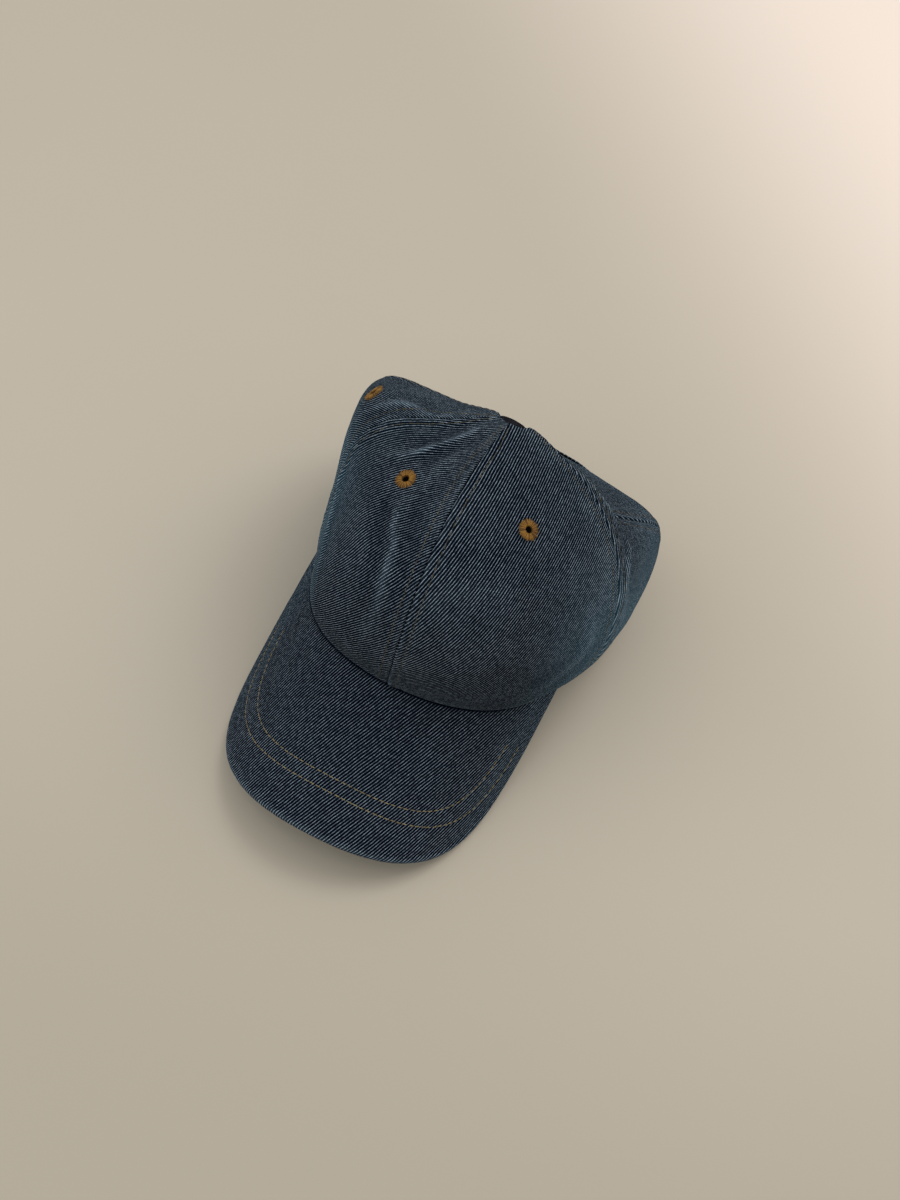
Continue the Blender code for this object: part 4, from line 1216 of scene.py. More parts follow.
        away = smooth_step(near, 0.0, 14 * MM) * smooth_step(rise, 0.0, 12 * MM)
        loose = (soft * (0.35 + 0.65 * away) + creases * smooth_step(near, 0.0, 5 * MM)) * calm
        summit = np.linalg.norm(base - form.summit, axis=-1)
        relief = (lip + band + groove + pucker) * scale + hem + hem_groove + loose
        relief = relief + 1.9 * MM * (1 - smooth_step(summit, 9 * MM, 28 * MM))
        points = self._under_button(base + normal * relief[..., None])
        twist = np.sin(rise / (3.7 * MM) * math.tau + 4.0 * wander)
        rope = 0.65 + 0.55 * rumple(base, 2.6 * MM, 25) + 0.25 * twist
        wear_and_shade = (0.60 * bell(near, 1.0 * MM, 0.7 * MM) * folded + 0.26 * bell(near, 5.3 * MM, 0.8 * MM)) * rope
        rolled = 0.85 * bell(over, 1.8 * MM, 0.6 * MM) + 0.22 * bell(over, 4.0 * MM, 3.0 * MM)
        wear_and_shade = wear_and_shade * scale + 0.30 * bell(rise, 1.0 * MM, 0.9 * MM) + rolled * on_brim
        # The two left panels are lighter towards the top.
        if number > 3:
            wear_and_shade = wear_and_shade + 0.20 * smooth_step(t, 0.50, 0.80)
        # The creases' crests pale from rubbing; their troughs take painted shade.
        wear_and_shade = wear_and_shade + 1.5 * pale * smooth_step(near, 0.0, 2.5 * MM) * calm
        # Lighter where the soft relief swells out, darker where it sinks.
        wear_and_shade = wear_and_shade + np.clip(soft / MM, -0.3, 0.4) * 0.40
        # A lighter band about 7 mm from the seam at 60 degrees, higher up the panel.
        if number == 0:
            wear_and_shade = wear_and_shade + 0.30 * bell(right, 7 * MM, 6 * MM) * smooth_step(t, 0.25, 0.5)
        # A pale line 9 mm from the seam at 60 degrees above the lowest part of the panel, and a broader
        # lighter band along that seam.
        if number == 1:
            wear_and_shade = wear_and_shade + 0.55 * bell(left, 9 * MM, 1.5 * MM) * smooth_step(t, 0.2, 0.4)
            wear_and_shade = wear_and_shade + 0.20 * bell(left, 5 * MM, 5 * MM)
        wear_and_shade = np.clip(wear_and_shade + 0.10 * wander, -0.55, 1.1)
        # Painted light: the cloth is lighter and more teal low on the sides and round the back, from nothing
        # at 32 degrees from the front to most from 66 to 84 degrees and about a quarter of that round the
        # back, fading out above the lower part of each panel.
        side = smooth_step(np.abs(turn), 32.0, 66.0)
        side = side * (1 - 0.72 * smooth_step(np.abs(turn), 84.0, 132.0))
        measures = np.stack([left - (left + right) / 2, rise], -1)
        drop = to_eye < 2.7 * MM
        shade = side * (0.04 + 0.70 * (1 - smooth_step(t, 0.26, 0.62)))
        piece = Cloth(f"panel_{name}", points, measures, self.cloth, wear_and_shade, shade, drop)
        if name.startswith("back"):
            piece.drop = drop | self._in_arch(points)
        obj = piece.build(self.wardrobe.of(DenimFinish("denim")), self.wardrobe.of(INSIDE_OUT))
        declare(obj, BODY, [f"panel_{name}"])
        flat = (float((left + right).max()), float(rise.max()))
        min(grid_area(base), flat[0] * flat[1])
        self._sew(number, points, rise)
        self._build_eyelet(name, middle, t_eye)

    def _in_arch(self, points: Array) -> Array:
        """True where a back panel is cut away for the back opening."""
        x = points[..., 0] - self.form.place[0]
        spring = self.form.arch_height - self.form.arch_half_width
        z = points[..., 2] - spring
        half = self.form.arch_half_width + 0.4 * MM
        behind = points[..., 1] > self.form.place[1] + self.form.rear_centre
        return (np.hypot(x, np.maximum(z, 0.0)) < half) & behind

    def _sew(self, number: int, points: Array, rise: Array) -> None:
        """Adds the rows of stitches beside both seams, and the hem's row."""
        normal = grid_normals(points)
        column = self.near.index(self.stitch_from_seam / MM)
        last_row = points.shape[0] - 7
        first_row = 5
        for index in (column, points.shape[1] - 1 - column):
            path, outward = points[first_row:last_row, index], normal[first_row:last_row, index]
            keep = ~self._in_arch(path)
            self.top_rows.row(path[keep], outward[keep])
        if number not in (0, 5):
            row = int(np.argmin(np.abs(rise[:, 0] - 4.6 * MM)))
            keep = ~self._in_arch(points[row])
            self.hem_rows.row(points[row][keep], normal[row][keep])

    def _build_eyelet(self, name: str, angle: float, t: float) -> None:
        """Makes one eyelet: radial satin stitches over a padded ring."""
        form = self.form
        centre, normal = form.crown(angle, t), form.crown_normal(angle, t)
        seat = axes(centre, normal, form.crown(angle + 1.0, t) - centre)
        # The ring's inner wall runs down into a cone that nearly closes the hole. Faces at the bore take the
        # near-black throat material, painted shade that makes the hole read dark; the rest of the ring takes
        # the mustard thread painted in shade.
        profile = [(0.4 * MM, -2.2), (self.eyelet_bore, -0.35), (self.eyelet_bore, 0.05), (2.0 * MM, 0.36),
                   (3.2 * MM, 0.48), (4.3 * MM, 0.22), (4.5 * MM, -0.15), (4.5 * MM, -1.5), (3.0 * MM, -2.4)]
        bm = turned([(radius, height * MM) for radius, height in profile], 40, closed=True)
        bmesh.ops.recalc_face_normals(bm, faces=bm.faces)
        for face in bm.faces:
            face.smooth = True
            reach = max(math.hypot(vertex.co.x, vertex.co.y) for vertex in face.verts)
            face.material_index = 2 if reach < self.eyelet_bore + 0.01 * MM else 1
        bmesh.ops.transform(bm, verts=bm.verts, matrix=seat)
        rng = np.random.default_rng(int(angle))
        count = 44
        spots: tuple[list[Matrix], list[Matrix]] = ([], [])
        for index in range(count):
            turn = math.tau * (index + rng.uniform(-0.20, 0.20)) / count
            outer = self.eyelet_radius + rng.uniform(-0.38, 0.38) * MM
            # Three in ten satin stitches take the mustard thread painted in shade, and sit a little lower.
            shaded = int(rng.uniform() < 0.30)
            height = 0.40 * MM + rng.uniform(-0.06, 0.06) * MM - 0.05 * MM * shaded
            spots[shaded].append(seat @ self._satin(turn, outer, height))
        # The spokes round the bore take the mustard thread painted in shade too.
        for index in range(30):
            spoke = Matrix.Rotation(math.tau * (index + 0.5) / 30, 4, "Z")
            spoke = spoke @ Matrix.Translation((self.eyelet_bore, 0, -0.05 * MM))
            spots[1].append(seat @ spoke @ Matrix.Diagonal((0.16 * MM, 0.17 * MM, 0.45 * MM, 1.0)))
        for shaded, few in enumerate(spots):
            stitches = bpy.data.meshes.new("stitches")
            satin = beads(few, 8, 7)
            for face in satin.faces:
                face.material_index = shaded
            satin.to_mesh(stitches)
            satin.free()
            bm.from_mesh(stitches)
            bpy.data.meshes.remove(stitches)
        obj = to_object(f"eyelet_{name}", bm, self.wardrobe.of(self.wardrobe.mustard),
                        self.wardrobe.of(self.wardrobe.mustard_painted_shade), self.wardrobe.of(self.wardrobe.core))
        declare(obj, BODY, [f"eyelet_{name}"])

    def _satin(self, turn: float, outer: float, height: float) -> Matrix:
        """The place and size of one radial satin stitch."""
        inner = self.eyelet_bore - 0.05 * MM
        spoke = Matrix.Rotation(turn, 4, "Z") @ Matrix.Translation(((inner + outer) / 2, 0, height))
        lean = Matrix.Rotation(math.radians(3.0), 4, "Y")
        size = Matrix.Diagonal(((outer - inner) / 2, 0.22 * MM, 0.38 * MM, 1.0))
        return spoke @ lean @ size @ Matrix.Rotation(math.pi / 2, 4, "Y")

    def build_tapes(self) -> None:
        """Makes the woven tapes that cover the seams inside."""
        form = self.form
        finish = WovenFinish("seam tape cotton", (0.020, 0.026, 0.040), (0.070, 0.082, 0.105), 0.8, True)
        sewing = Sewing("stitching_seam_tapes", seed=19)
        for number, name in enumerate(SEAM_NAMES):
            low = self.back_tape_start if name == "back" else self.tape_start
            start = float(form.t_from_rim(PANEL_ANGLE * number, low))
            end = float(form.t_from_top(PANEL_ANGLE * number, self.tape_end))
            t = np.linspace(start, end, 90)[:, None] * np.ones(15)
            seam = seam_angle(number, t)
            span = np.linalg.norm(form.crown(seam + 5.0, t) - form.crown(seam - 5.0, t), axis=-1)
            share = np.linspace(0.5, -0.5, 15)
            angle = seam + share * self.tape_width / span * 10.0
            swell = 0.10 * MM * (1 - (2 * share) ** 2) + 0.10 * MM * rumple(form.crown(angle, t), 9 * MM, 31)
            points = form.inside(angle, t, form.panel + 1.15 * MM + swell)
            long = along_rows(points.transpose(1, 0, 2)).T
            measures = np.stack([np.broadcast_to(share * self.tape_width, t.shape), long], -1)
            wear_and_shade = np.broadcast_to(bell(np.abs(share), 0.47, 0.06), t.shape) * 0.6
            tape = Cloth(f"seam_tape_{name}", points, measures, self.tape, wear_and_shade)
            obj = tape.build(self.wardrobe.of(finish))
            declare(obj, BODY, [f"seam_tape_{name}"])
            normal = grid_normals(points)
            for column in (2, 12):
                sewing.row(points[2:-2, column], normal[2:-2, column])
        declare(sewing.build(self.wardrobe.of(self.wardrobe.navy)), BODY)

    def build_button(self) -> None:
        """Makes the cloth-covered button on top."""
        low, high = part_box("crown_button")
        axis = self.top_axis
        top = self.form.summit
        radius, height, side = self.button_radius, self.button_height, 0.9 * MM
        seat = axes(top, axis, np.array([1.0, 0.0, 0.0]))
        angle, t = np.meshgrid(np.arange(0, 360, 4.0), np.linspace(0.86, 1.0, 40), indexing="ij")
        under = self.form.crown(angle, t).reshape(-1, 3) - top
        lie = under @ np.array(seat.to_3x3())
        arc = np.linspace(0, math.pi / 2, 15)
        dome = [(radius * math.cos(a) ** 0.85, side + (height - side) * math.sin(a)) for a in arc[:-1]]
        profile = [(0.0, -1.2 * MM), (1.3 * MM, -1.2 * MM), (1.3 * MM, 0.1 * MM),
                   (radius * 0.80, 0.0), (radius * 0.95, 0.25 * MM), *dome, (0.0, height)]
        bm = turned(profile, 64, closed=False)
        bmesh.ops.remove_doubles(bm, verts=bm.verts, dist=WELD)
        bmesh.ops.recalc_face_normals(bm, faces=bm.faces)
        for vertex in bm.verts:
            turn = math.atan2(vertex.co.y, vertex.co.x)
            out = math.hypot(vertex.co.x, vertex.co.y) / radius
            gather = 0.10 * MM * math.sin(turn * 17.0) * out**6
            near = np.exp(-np.sum((lie[:, :2] - np.array(vertex.co)[:2]) ** 2, axis=1) / (0.9 * MM) ** 2)
            drape = 0.40 * float(near @ lie[:, 2] / near.sum()) - self.pressed
            vertex.co.z += drape + (gather if vertex.co.z > 0.0 else 0.0)
        uv = bm.loops.layers.uv.new("cloth")
        for face in bm.faces:
            face.smooth = True
            for loop in face.loops:
                loop[uv].uv = (loop.vert.co.x, loop.vert.co.y)
        bmesh.ops.transform(bm, verts=bm.verts, matrix=seat)
        finish = DenimFinish("button denim", dark=(0.006, 0.006, 0.009), faded=(0.020, 0.022, 0.030),
                             weft=(0.085, 0.088, 0.100), pitch=0.9, float_length=0.7, lightness=0.7)
        obj = to_object("crown_button", bm, self.wardrobe.of(finish))
        declare(obj, BODY, ["crown_button"])
        LOG.info("button box %s to %s", low, high)


INSIDE_OUT = DenimFinish(
    "denim wrong side", dark=(0.012, 0.018, 0.028), faded=(0.050, 0.062, 0.078), weft=(0.200, 0.225, 0.250),
    diagonal=118.0, lightness=0.9, fade=0.6,
)


# ---------------------------------------------------------------- brim
@dataclass
class Brim:
    """The curved brim: two cloths round a board, sewn with two rows near the front edge."""

    form: CapForm
    wardrobe: Wardrobe
    cloth: float = 0.8 * MM
    gap: float = 0.3 * MM
    columns: int = 201
    rows: int = 96
    stitch_insets: tuple[float, float] = (20.2 * MM, 26.5 * MM)
    stitch_draw_in: float = 2.05     # per metre: the rows near the edge by this much at the sides

    def _grid(self, margin: float, up: bool) -> tuple[Array, Array]:
        """Flat measures over the brim, from the crown seam to the front edge."""
        half = self.form.brim_half_width - margin
        side = half * np.sin(np.linspace(-math.pi / 2, math.pi / 2, self.columns))
        near = self.gap + margin - self.form.seam_set_back(side)
        if up:
            _, across, along, _ = self.form.brim_meeting(self.form.brim_board / 2 + self.gap + self.cloth / 2)
            near = np.minimum(near, np.interp(side, across, along) + 0.1 * MM)
        far = self.form.front_edge(side * self.form.brim_half_width / half) - margin
        far = np.maximum(far, near + 4.0 * MM)
        share = np.concatenate([np.linspace(0, 0.93, self.rows - 14), np.linspace(0.935, 1.0, 14)])[:, None]
        return np.broadcast_to(side, (self.rows, self.columns)), near + (far - near) * share

    def _edge_distance(self, across: Array, along: Array) -> Array:
        """How far each place lies inside the brim's outer edge, flat."""
        side = self.form.brim_half_width * np.sin(np.linspace(-math.pi / 2, math.pi / 2, 181))
        edge = np.stack([side, self.form.front_edge(side), np.zeros_like(side)], -1)
        places = np.stack([across, along, np.zeros_like(across)], -1)
        return path_distance(places, edge)[0]

    def _draw_in(self, across: Array) -> Array:
        """How much nearer to the edge the rows of stitches run, away from the middle."""
        return self.stitch_draw_in * np.asarray(across) ** 2

    def build(self) -> None:
        """Makes both cloths, the rows of stitches and dresses the board."""
        self._build_face("brim_top_cloth", up=True)
        self._build_face("brim_under_cloth", up=False)
        board = frame["nodes"]["brim_board"]
        board.data.materials.clear()
        board.data.materials.append(self.wardrobe.of(BoardFinish()))

    def _build_face(self, name: str, up: bool) -> None:
        """Makes one cloth of the brim."""
        form = self.form
        across, along = self._grid(0.0, up)
        inset = self._edge_distance(across, along)
        seam = along + form.seam_set_back(across) - self.gap
        sign = 1.0 if up else -1.0
        face = form.brim_board / 2 + (self.gap if up else 0.6 * MM) + self.cloth
        roll = np.clip(inset / (1.5 * MM), 0.0, 1.0)
        lift = face * np.sqrt(np.clip(1.0 - (1.0 - roll) ** 2, 0.0, 1.0))
        lift = np.maximum(lift, 0.15 * MM)
        flat_place = np.stack([across, along, np.zeros_like(across)], -1)
        relief = 0.16 * MM * rumple(flat_place, 20 * MM, 41) + 0.09 * MM * rumple(flat_place, 8 * MM, 42)
        drawn = inset + self._draw_in(across)
        for row_inset in self.stitch_insets:
            relief = relief - 0.26 * MM * bell(drawn, row_inset, 0.55 * MM)
        low, high = self.stitch_insets
        relief = relief + 0.10 * MM * bell(drawn, (low + high) / 2, 2.0 * MM)
        relief = relief - 0.12 * MM * bell(inset, 3.4 * MM, 0.8 * MM)
        relief = relief + 0.10 * MM * bell(inset, 2.0 * MM, 0.8 * MM)
        relief = relief * smooth_step(inset, 0.3 * MM, 2.0 * MM) * smooth_step(seam, 0.0, 3 * MM)
        points = form.bent(across, along, sign * (lift + relief))
        wear_and_shade = 1.0 * np.exp(-((inset / (2.1 * MM)) ** 2)) + 0.14 * bell(drawn, (low + high) / 2, 2.4 * MM)
        wear_and_shade = wear_and_shade + 0.12 * rumple(flat_place, 12 * MM, 43)
        # Painted light: the brim's ends are lighter and more teal, and the rest a touch darker.
        corner = smooth_step(np.abs(across), 0.55 * form.brim_half_width, form.brim_half_width)
        shade = 0.16 * corner - 0.04
        if up:
            # Painted shadow: a dark line on the top cloth just in front of where the crown's hem overhangs
            # the brim.
            _, meets_across, meets_along, _ = form.brim_meeting(form.brim_board / 2 + self.gap + self.cloth)
            clear = along - np.interp(across, meets_across, meets_along)
            shade = shade - 1.3 * np.exp(-(((clear - 0.6 * MM) / (0.9 * MM)) ** 2))
        if not up:
            points, across, along = points[:, ::-1], across[:, ::-1], along[:, ::-1]
            wear_and_shade, shade, drawn = wear_and_shade[:, ::-1], shade[:, ::-1], drawn[:, ::-1]
        points, across, along = points[::-1], across[::-1], along[::-1]
        measures = np.stack([across, -along if up else along], -1)
        obj = Cloth(name, points, measures, self.cloth, np.clip(wear_and_shade, 0, 1)[::-1], shade[::-1]).build(
            self.wardrobe.of(DenimFinish("denim brim", fade=0.22, diagonal=66.0, pitch=1.22)))
        declare(obj, BODY, [name])
        flat = (2 * form.brim_half_width, float(along.max() - along.min()))
        grid_area(points)
        self._sew(up, points, drawn[::-1])

    def _sew(self, up: bool, points: Array, inset: Array) -> None:
        """Makes the two rows of stitches on one face."""
        normal = grid_normals(points)
        side = "top" if up else "under"
        sewing = Sewing(f"stitching_brim_{side}", length=2.5 * MM, radius=0.23 * MM, seed=27)
        for row_inset in self.stitch_insets:
            path, outward = [], []
            for column in range(24, points.shape[1] - 24):
                depth = inset[:, column]
                peak = int(np.argmax(depth))
                if depth[peak] < row_inset + 0.5 * MM:
                    continue
                reach = depth[: peak + 1]
                for found, grid in ((path, points), (outward, normal)):
                    line = grid[: peak + 1, column]
                    found.append([np.interp(row_inset, reach, line[:, axis]) for axis in range(3)])
            sewing.row(np.array(path), unit(np.array(outward)), 0.02 * MM)
        declare(sewing.build(self.wardrobe.of(self.wardrobe.ochre)), BODY)


# ---------------------------------------------------------------- back and inside
@dataclass
class Back:
    """The sweatband, the bound back opening, and the strap with its flip clasp."""

    form: CapForm
    wardrobe: Wardrobe
    gap: float = 0.3 * MM
    pocket_gap: float = 0.7 * MM
    band: float = 1.1 * MM
    band_start: float = 33.5         # degrees round the rear, either side
    band_height: float = 32 * MM
    band_foot: float = 0.9 * MM
    band_inset: float = 3.4 * MM
    binding: float = 0.6 * MM
    binding_leg: float = 5.5 * MM
    tab: float = 0.8 * MM
    tab_end: float = -42.0
    tab_leaves: float = -26.0
    bar_turns: tuple[float, float] = (-16.1, -14.6)
    bar_low: float = 1.4 * MM
    bar_high: float = 2.2 * MM
    topstitch: Sewing = field(default_factory=lambda: Sewing("stitching_binding", radius=0.22 * MM, seed=5))

    def build(self) -> None:
        """Makes every piece of the back and dresses the metal."""
        self.build_sweatband()
        self.build_binding()
        self.build_strap()
        self.build_tab()
        for name, body in METAL.items():
            self.build_metal(name, body)

    def build_sweatband(self) -> None:
        """Makes the inner band: an open ring on a turned-out foot, with three rows of stitches."""
        form = self.form
        last = float(form.rear_angle(self.band_start))
        angle = np.linspace(-last, last, 341)
        seat = self.band_foot + self.band
        rises = np.linspace(seat, self.band_height, 30)
        per_metre = 120 / (form.half_rim - form.front_panel_width)
        turn = np.sign(angle) * np.degrees((180 - np.abs(angle)) / per_metre / form.rear_radius)
        brim_end = 60 + (form.brim_seam_half - form.front_panel_width) * per_metre
        front = np.clip((brim_end + 12 - np.abs(angle)) / 8, 0, 1)[:, None]
        blend = smooth_step(np.abs(angle), 96.0, 118.0)
        ts = np.array([form.t_from_rim(a, [self.band_foot, *rises]) for a in angle]).T
        upright = form.inside(angle, ts[1:], self.band_inset)
        slant = (rises - form.strap_middle) * math.hypot(1.0, form.strap_cone[1])
        behind = form.on_strap(turn, slant[:, None], -form.strap - self.pocket_gap)
        rows = upright + (behind - upright) * blend[:, None]
        straight = form.inside(angle, ts[0], self.band_inset)
        turned_out = form.inside(angle, ts[1], form.panel + form.ply_gap)
        foot = turned_out + (straight - turned_out) * front
        share = np.linspace(0, 1, 6)[:-1, None, None]
        points = np.concatenate([foot + (rows[0] - foot) * share, rows])
        rise = np.concatenate([np.linspace(0, seat, 5, endpoint=False), rises])[:, None]
        rise = np.broadcast_to(rise, points.shape[:2])
        normal = grid_normals(points)
        relief = 0.30 * MM * rumple(points, 21 * MM, 61) + 0.12 * MM * rumple(points, 8 * MM, 62)
        relief = relief - 0.35 * MM + 0.25 * MM * smooth_step(rise, 26 * MM, 28 * MM)
        seams = (5.0 * MM, 27.4 * MM, 30.2 * MM)
        for height in seams:
            relief = relief + 0.28 * MM * bell(rise, height, 0.6 * MM)
        relief = relief * smooth_step(rise, 2.4 * MM, 5 * MM) * smooth_step(blend, 1.0, 0.8)
        points = points + normal * relief[..., None]
        long = along_rows(points[12])
        measures = np.stack([np.broadcast_to(long, rise.shape), rise], -1)
        wear_and_shade = 0.5 * bell(rise, self.band_height, 1.0 * MM) + 0.2 * rumple(points, 30 * MM, 63)
        finish = WovenFinish("sweatband cotton", (0.012, 0.016, 0.026), (0.062, 0.072, 0.092), 0.55)
        band = Cloth("sweatband", points, measures, self.band, np.clip(wear_and_shade, 0, 1))
        obj = band.build(self.wardrobe.of(finish))
        declare(obj, BODY, ["sweatband"])
        self.band_height + 3 * MM
        sewing = Sewing("stitching_sweatband", length=2.4 * MM, radius=0.24 * MM, seed=71)
        normal = grid_normals(points)
        inner = points - normal * self.band
        for height in seams:
            row = int(np.argmin(np.abs(rise[:, 0] - height)))
            sewing.row(inner[row, 3:-3], -normal[row, 3:-3], 0.02 * MM)
        declare(sewing.build(self.wardrobe.of(self.wardrobe.navy)), BODY)

    def _arch(self, count: int) -> Array:
        """The back opening seen from behind, from one foot over the top to the other."""
        half = self.form.arch_half_width
        spring = self.form.arch_height - half
        foot = np.stack([np.full(7, half), np.linspace(self.band_foot, spring, 8)[:-1]], -1)
        turns = np.linspace(0, math.pi, count)
        bow = np.stack([half * np.cos(turns), spring + half * np.sin(turns)], -1)
        return np.concatenate([foot, bow, foot[::-1] * [-1, 1]])

    def build_binding(self) -> None:
        """Makes the tape folded over the edge of the opening, sewn through near its legs' ends."""
        form = self.form
        spots = np.array([form.rear_face(x, z) for x, z in self._arch(91)])
        edge = form.crown(spots[:, 0], spots[:, 1])
        normal = form.crown_normal(spots[:, 0], spots[:, 1])
        ahead = unit(np.gradient(edge, axis=0))
        inward = unit(np.cross(ahead, normal))
        if inward[len(inward) // 2][2] > 0:
            inward = -inward
        out = form.ply_gap + self.binding
        back = -(form.panel + form.ply_gap + self.binding)
        bend = 1.0 * MM
        quarter = np.linspace(0, math.pi / 2, 6)
        leg = np.linspace(-self.binding_leg, out - bend, 16)
        over = [out - bend + bend * np.sin(quarter), out - bend + bend * np.cos(quarter)]
        under = [out - bend + bend * np.cos(quarter), back + bend - bend * np.sin(quarter)]
        reach = np.concatenate([leg[:-1], over[0], under[0], leg[::-1][1:]])
        lift = np.concatenate([np.full(15, out), over[1], under[1], np.full(15, back)])
        seam = bell(np.abs(reach), 3.9 * MM, 0.45 * MM) * (reach < 0)
        long = along_rows(edge)
        pucker = np.sin(long / (5.2 * MM) * math.tau) * 0.09 * MM * bell(reach[:, None], -3.0 * MM, 2.5 * MM)
        outer = np.where(lift > 0, 1.0, -1.0)[:, None]
        sway = outer * (pucker + 0.12 * MM * rumple(edge, 6 * MM, 81) - 0.22 * MM * seam[:, None] - 0.05 * MM)
        sway = sway * smooth_step(-reach, -0.5 * MM, 1.5 * MM)[:, None]
        points = edge + reach[:, None, None] * inward + (lift[:, None] + sway)[..., None] * normal
        width = along_rows(np.stack([reach, lift], -1))
        measures = np.stack(np.broadcast_arrays(width[:, None], long[None, :]), -1)
        wear_and_shade = 0.75 * bell(reach, out, 0.9 * MM) + 0.35 * bell(reach, -self.binding_leg, 0.5 * MM)
        wear_and_shade = np.broadcast_to(wear_and_shade[:, None], points.shape[:2]) * (0.7 + 0.3 * rumple(points, 7 * MM, 82))
        if np.sum(grid_normals(points)[3] * normal) < 0:
            points, measures, wear_and_shade = points[:, ::-1], measures[:, ::-1], wear_and_shade[:, ::-1]
        obj = Cloth("opening_binding", points, measures, self.binding, np.clip(wear_and_shade, 0, 1)).build(
            self.wardrobe.of(DenimFinish("denim binding", dark=(0.0060, 0.0100, 0.0160), fade=1.6)))
        declare(obj, BODY, ["opening_binding"])
        flat = (float(width[-1]), float(long[-1]))
        min(grid_area(points), flat[0] * flat[1])
        face = grid_normals(points)
        sewn = int(np.argmin(np.abs(reach[:15] + 3.9 * MM)))
        for row in (sewn, len(reach) - 1 - sewn):
            self.topstitch.row(points[row, 2:-2], face[row, 2:-2], 0.03 * MM)
        declare(self.topstitch.build(self.wardrobe.of(self.wardrobe.ochre)), BODY)

    def build_strap(self) -> None:
        """Makes the long strap, sewn along both edges."""
        form = self.form
        half = form.strap_half
        side = np.concatenate([[0.0, 0.12, 0.3, 0.55, 0.85, 1.3, 1.8], np.linspace(2.3, 17.0, 26)[:-1]]) * MM
        rise = np.concatenate([-half + side[:20], (half - side[:20])[::-1]])
        turns = np.linspace(form.strap_half_angle, -form.strap_half_angle, 301)
        edge = half - np.abs(rise)
        long = np.radians(-turns) * form.strap_cone[0]
        places = np.stack([*np.broadcast_arrays(long[None, :], rise[:, None], 0.0)], -1)
        drop = 0.45 * MM * (1 - np.sqrt(np.clip(1 - (1 - np.clip(edge / (0.8 * MM), 0, 1)) ** 2, 0, 1)))
        relief = -drop[:, None] - 0.16 * MM * bell(edge, 2.4 * MM, 0.4 * MM)[:, None]
        ripple = 0.10 * MM * np.sin(long / (4.6 * MM) * math.tau + 3 * rumple(places, 12 * MM, 91))
        relief = relief + (ripple - 0.10 * MM) * bell(edge, 1.4 * MM, 1.3 * MM)[:, None]
        slack = 0.10 * MM * (1 + rumple(places, 15 * MM, 92))
        relief = relief - slack * smooth_step(edge, 0, 3 * MM)[:, None]
        points = form.on_strap(turns, rise[:, None], np.minimum(relief, 0.0))
        wear_and_shade = 0.85 * bell(edge, 0.2 * MM, 0.6 * MM) + 0.20 * bell(edge, 1.5 * MM, 0.9 * MM)
        wear_and_shade = wear_and_shade[:, None] + 0.25 * np.clip(rumple(places, 10 * MM, 93), 0, 1)
        measures = np.stack(np.broadcast_arrays(rise[:, None], long[None, :]), -1)
        finish = self.wardrobe.of(DenimFinish("denim"))
        obj = Cloth("back_strap", points, measures, form.strap - 0.25 * MM, np.clip(wear_and_shade, 0, 1)).build(finish)
        declare(obj, "strap", ["back_strap"])
        2 * half
        sewing = Sewing("stitching_strap", radius=0.22 * MM, seed=95)
        normal = grid_normals(points)
        for height in (-half + 2.4 * MM, half - 2.4 * MM):
            row = int(np.argmin(np.abs(rise - height)))
            sewing.row(points[row, 2:-2], normal[row, 2:-2], -0.02 * MM)
        declare(sewing.build(self.wardrobe.of(self.wardrobe.ochre)), "strap")

    def build_tab(self) -> None:
        """Makes the cloth tab that loops round the frame's bar, with a crossed box of stitches."""
        form = self.form
        half = form.strap_half - 0.8 * MM
        rises = np.linspace(-half, half, 25)
        lift = 2 * form.ply_gap + self.binding + self.gap + self.tab
        lean = math.hypot(1.0, form.strap_cone[1])
        columns = []
        for turn in np.linspace(self.tab_end, self.tab_leaves, 5):
            angle = float(form.rear_angle(turn))
            t = np.array([form.t_at_height(angle, form.strap_middle + rise / lean) for rise in rises])
            columns.append(form.crown(angle, t) + form.crown_normal(np.full(25, angle), t) * lift)
        wrap = self.tab + self.gap
        middle = (self.bar_low + self.bar_high) / 2
        first, last = self.bar_turns
        over = self.bar_high + wrap
        loop = ((first - 1.0, over), (last, over), (last + 0.75, middle + 0.8 * MM),
                (last + 0.75, middle - 0.8 * MM), (last, self.gap), (first, self.gap),
                (first - 2.6, self.gap))
        columns += [form.on_strap(turn, rises, off) for turn, off in loop]
        spots = np.stack(columns, 1)
        steps = np.linspace(0, spots.shape[1] - 1, 10 * (spots.shape[1] - 1) + 1)
        index = np.minimum(steps.astype(int), spots.shape[1] - 2)
        share = (steps - index)[None, :, None]
        points = spots[:, index] * (1 - share) + spots[:, index + 1] * share
        for _ in range(12):
            points[:, 1:-1] = points[:, 1:-1] * 0.5 + (points[:, 2:] + points[:, :-2]) * 0.25
        long = along_rows(points[12])
        edge = (half - np.abs(rises))[:, None]
        normal = grid_normals(points[:, ::-1])[:, ::-1]
        relief = -0.22 * MM * bell(edge, 0.0, 0.5 * MM) - 0.12 * MM * bell(edge, 2.0 * MM, 0.4 * MM)
        relief = relief * np.ones_like(long) + 0.05 * MM * rumple(points, 5 * MM, 101)
        points = points + normal * relief[..., None]
        wear_and_shade = 0.7 * bell(edge, 0.0, 0.7 * MM) + 0.8 * bell(long, 0.0, 0.7 * MM)
        wear_and_shade = np.clip(wear_and_shade + 0.1 * rumple(points, 5 * MM, 102), 0, 1)
        measures = np.stack(np.broadcast_arrays(rises[:, None], long[None, :]), -1)
        tab = Cloth("clasp_tab", points[:, ::-1], measures[:, ::-1], self.tab, wear_and_shade[:, ::-1])
        obj = tab.build(self.wardrobe.of(DenimFinish("denim")))
        declare(obj, BODY, ["clasp_tab"])
        2 * half
        self._box_stitch(points, normal, rises, long)

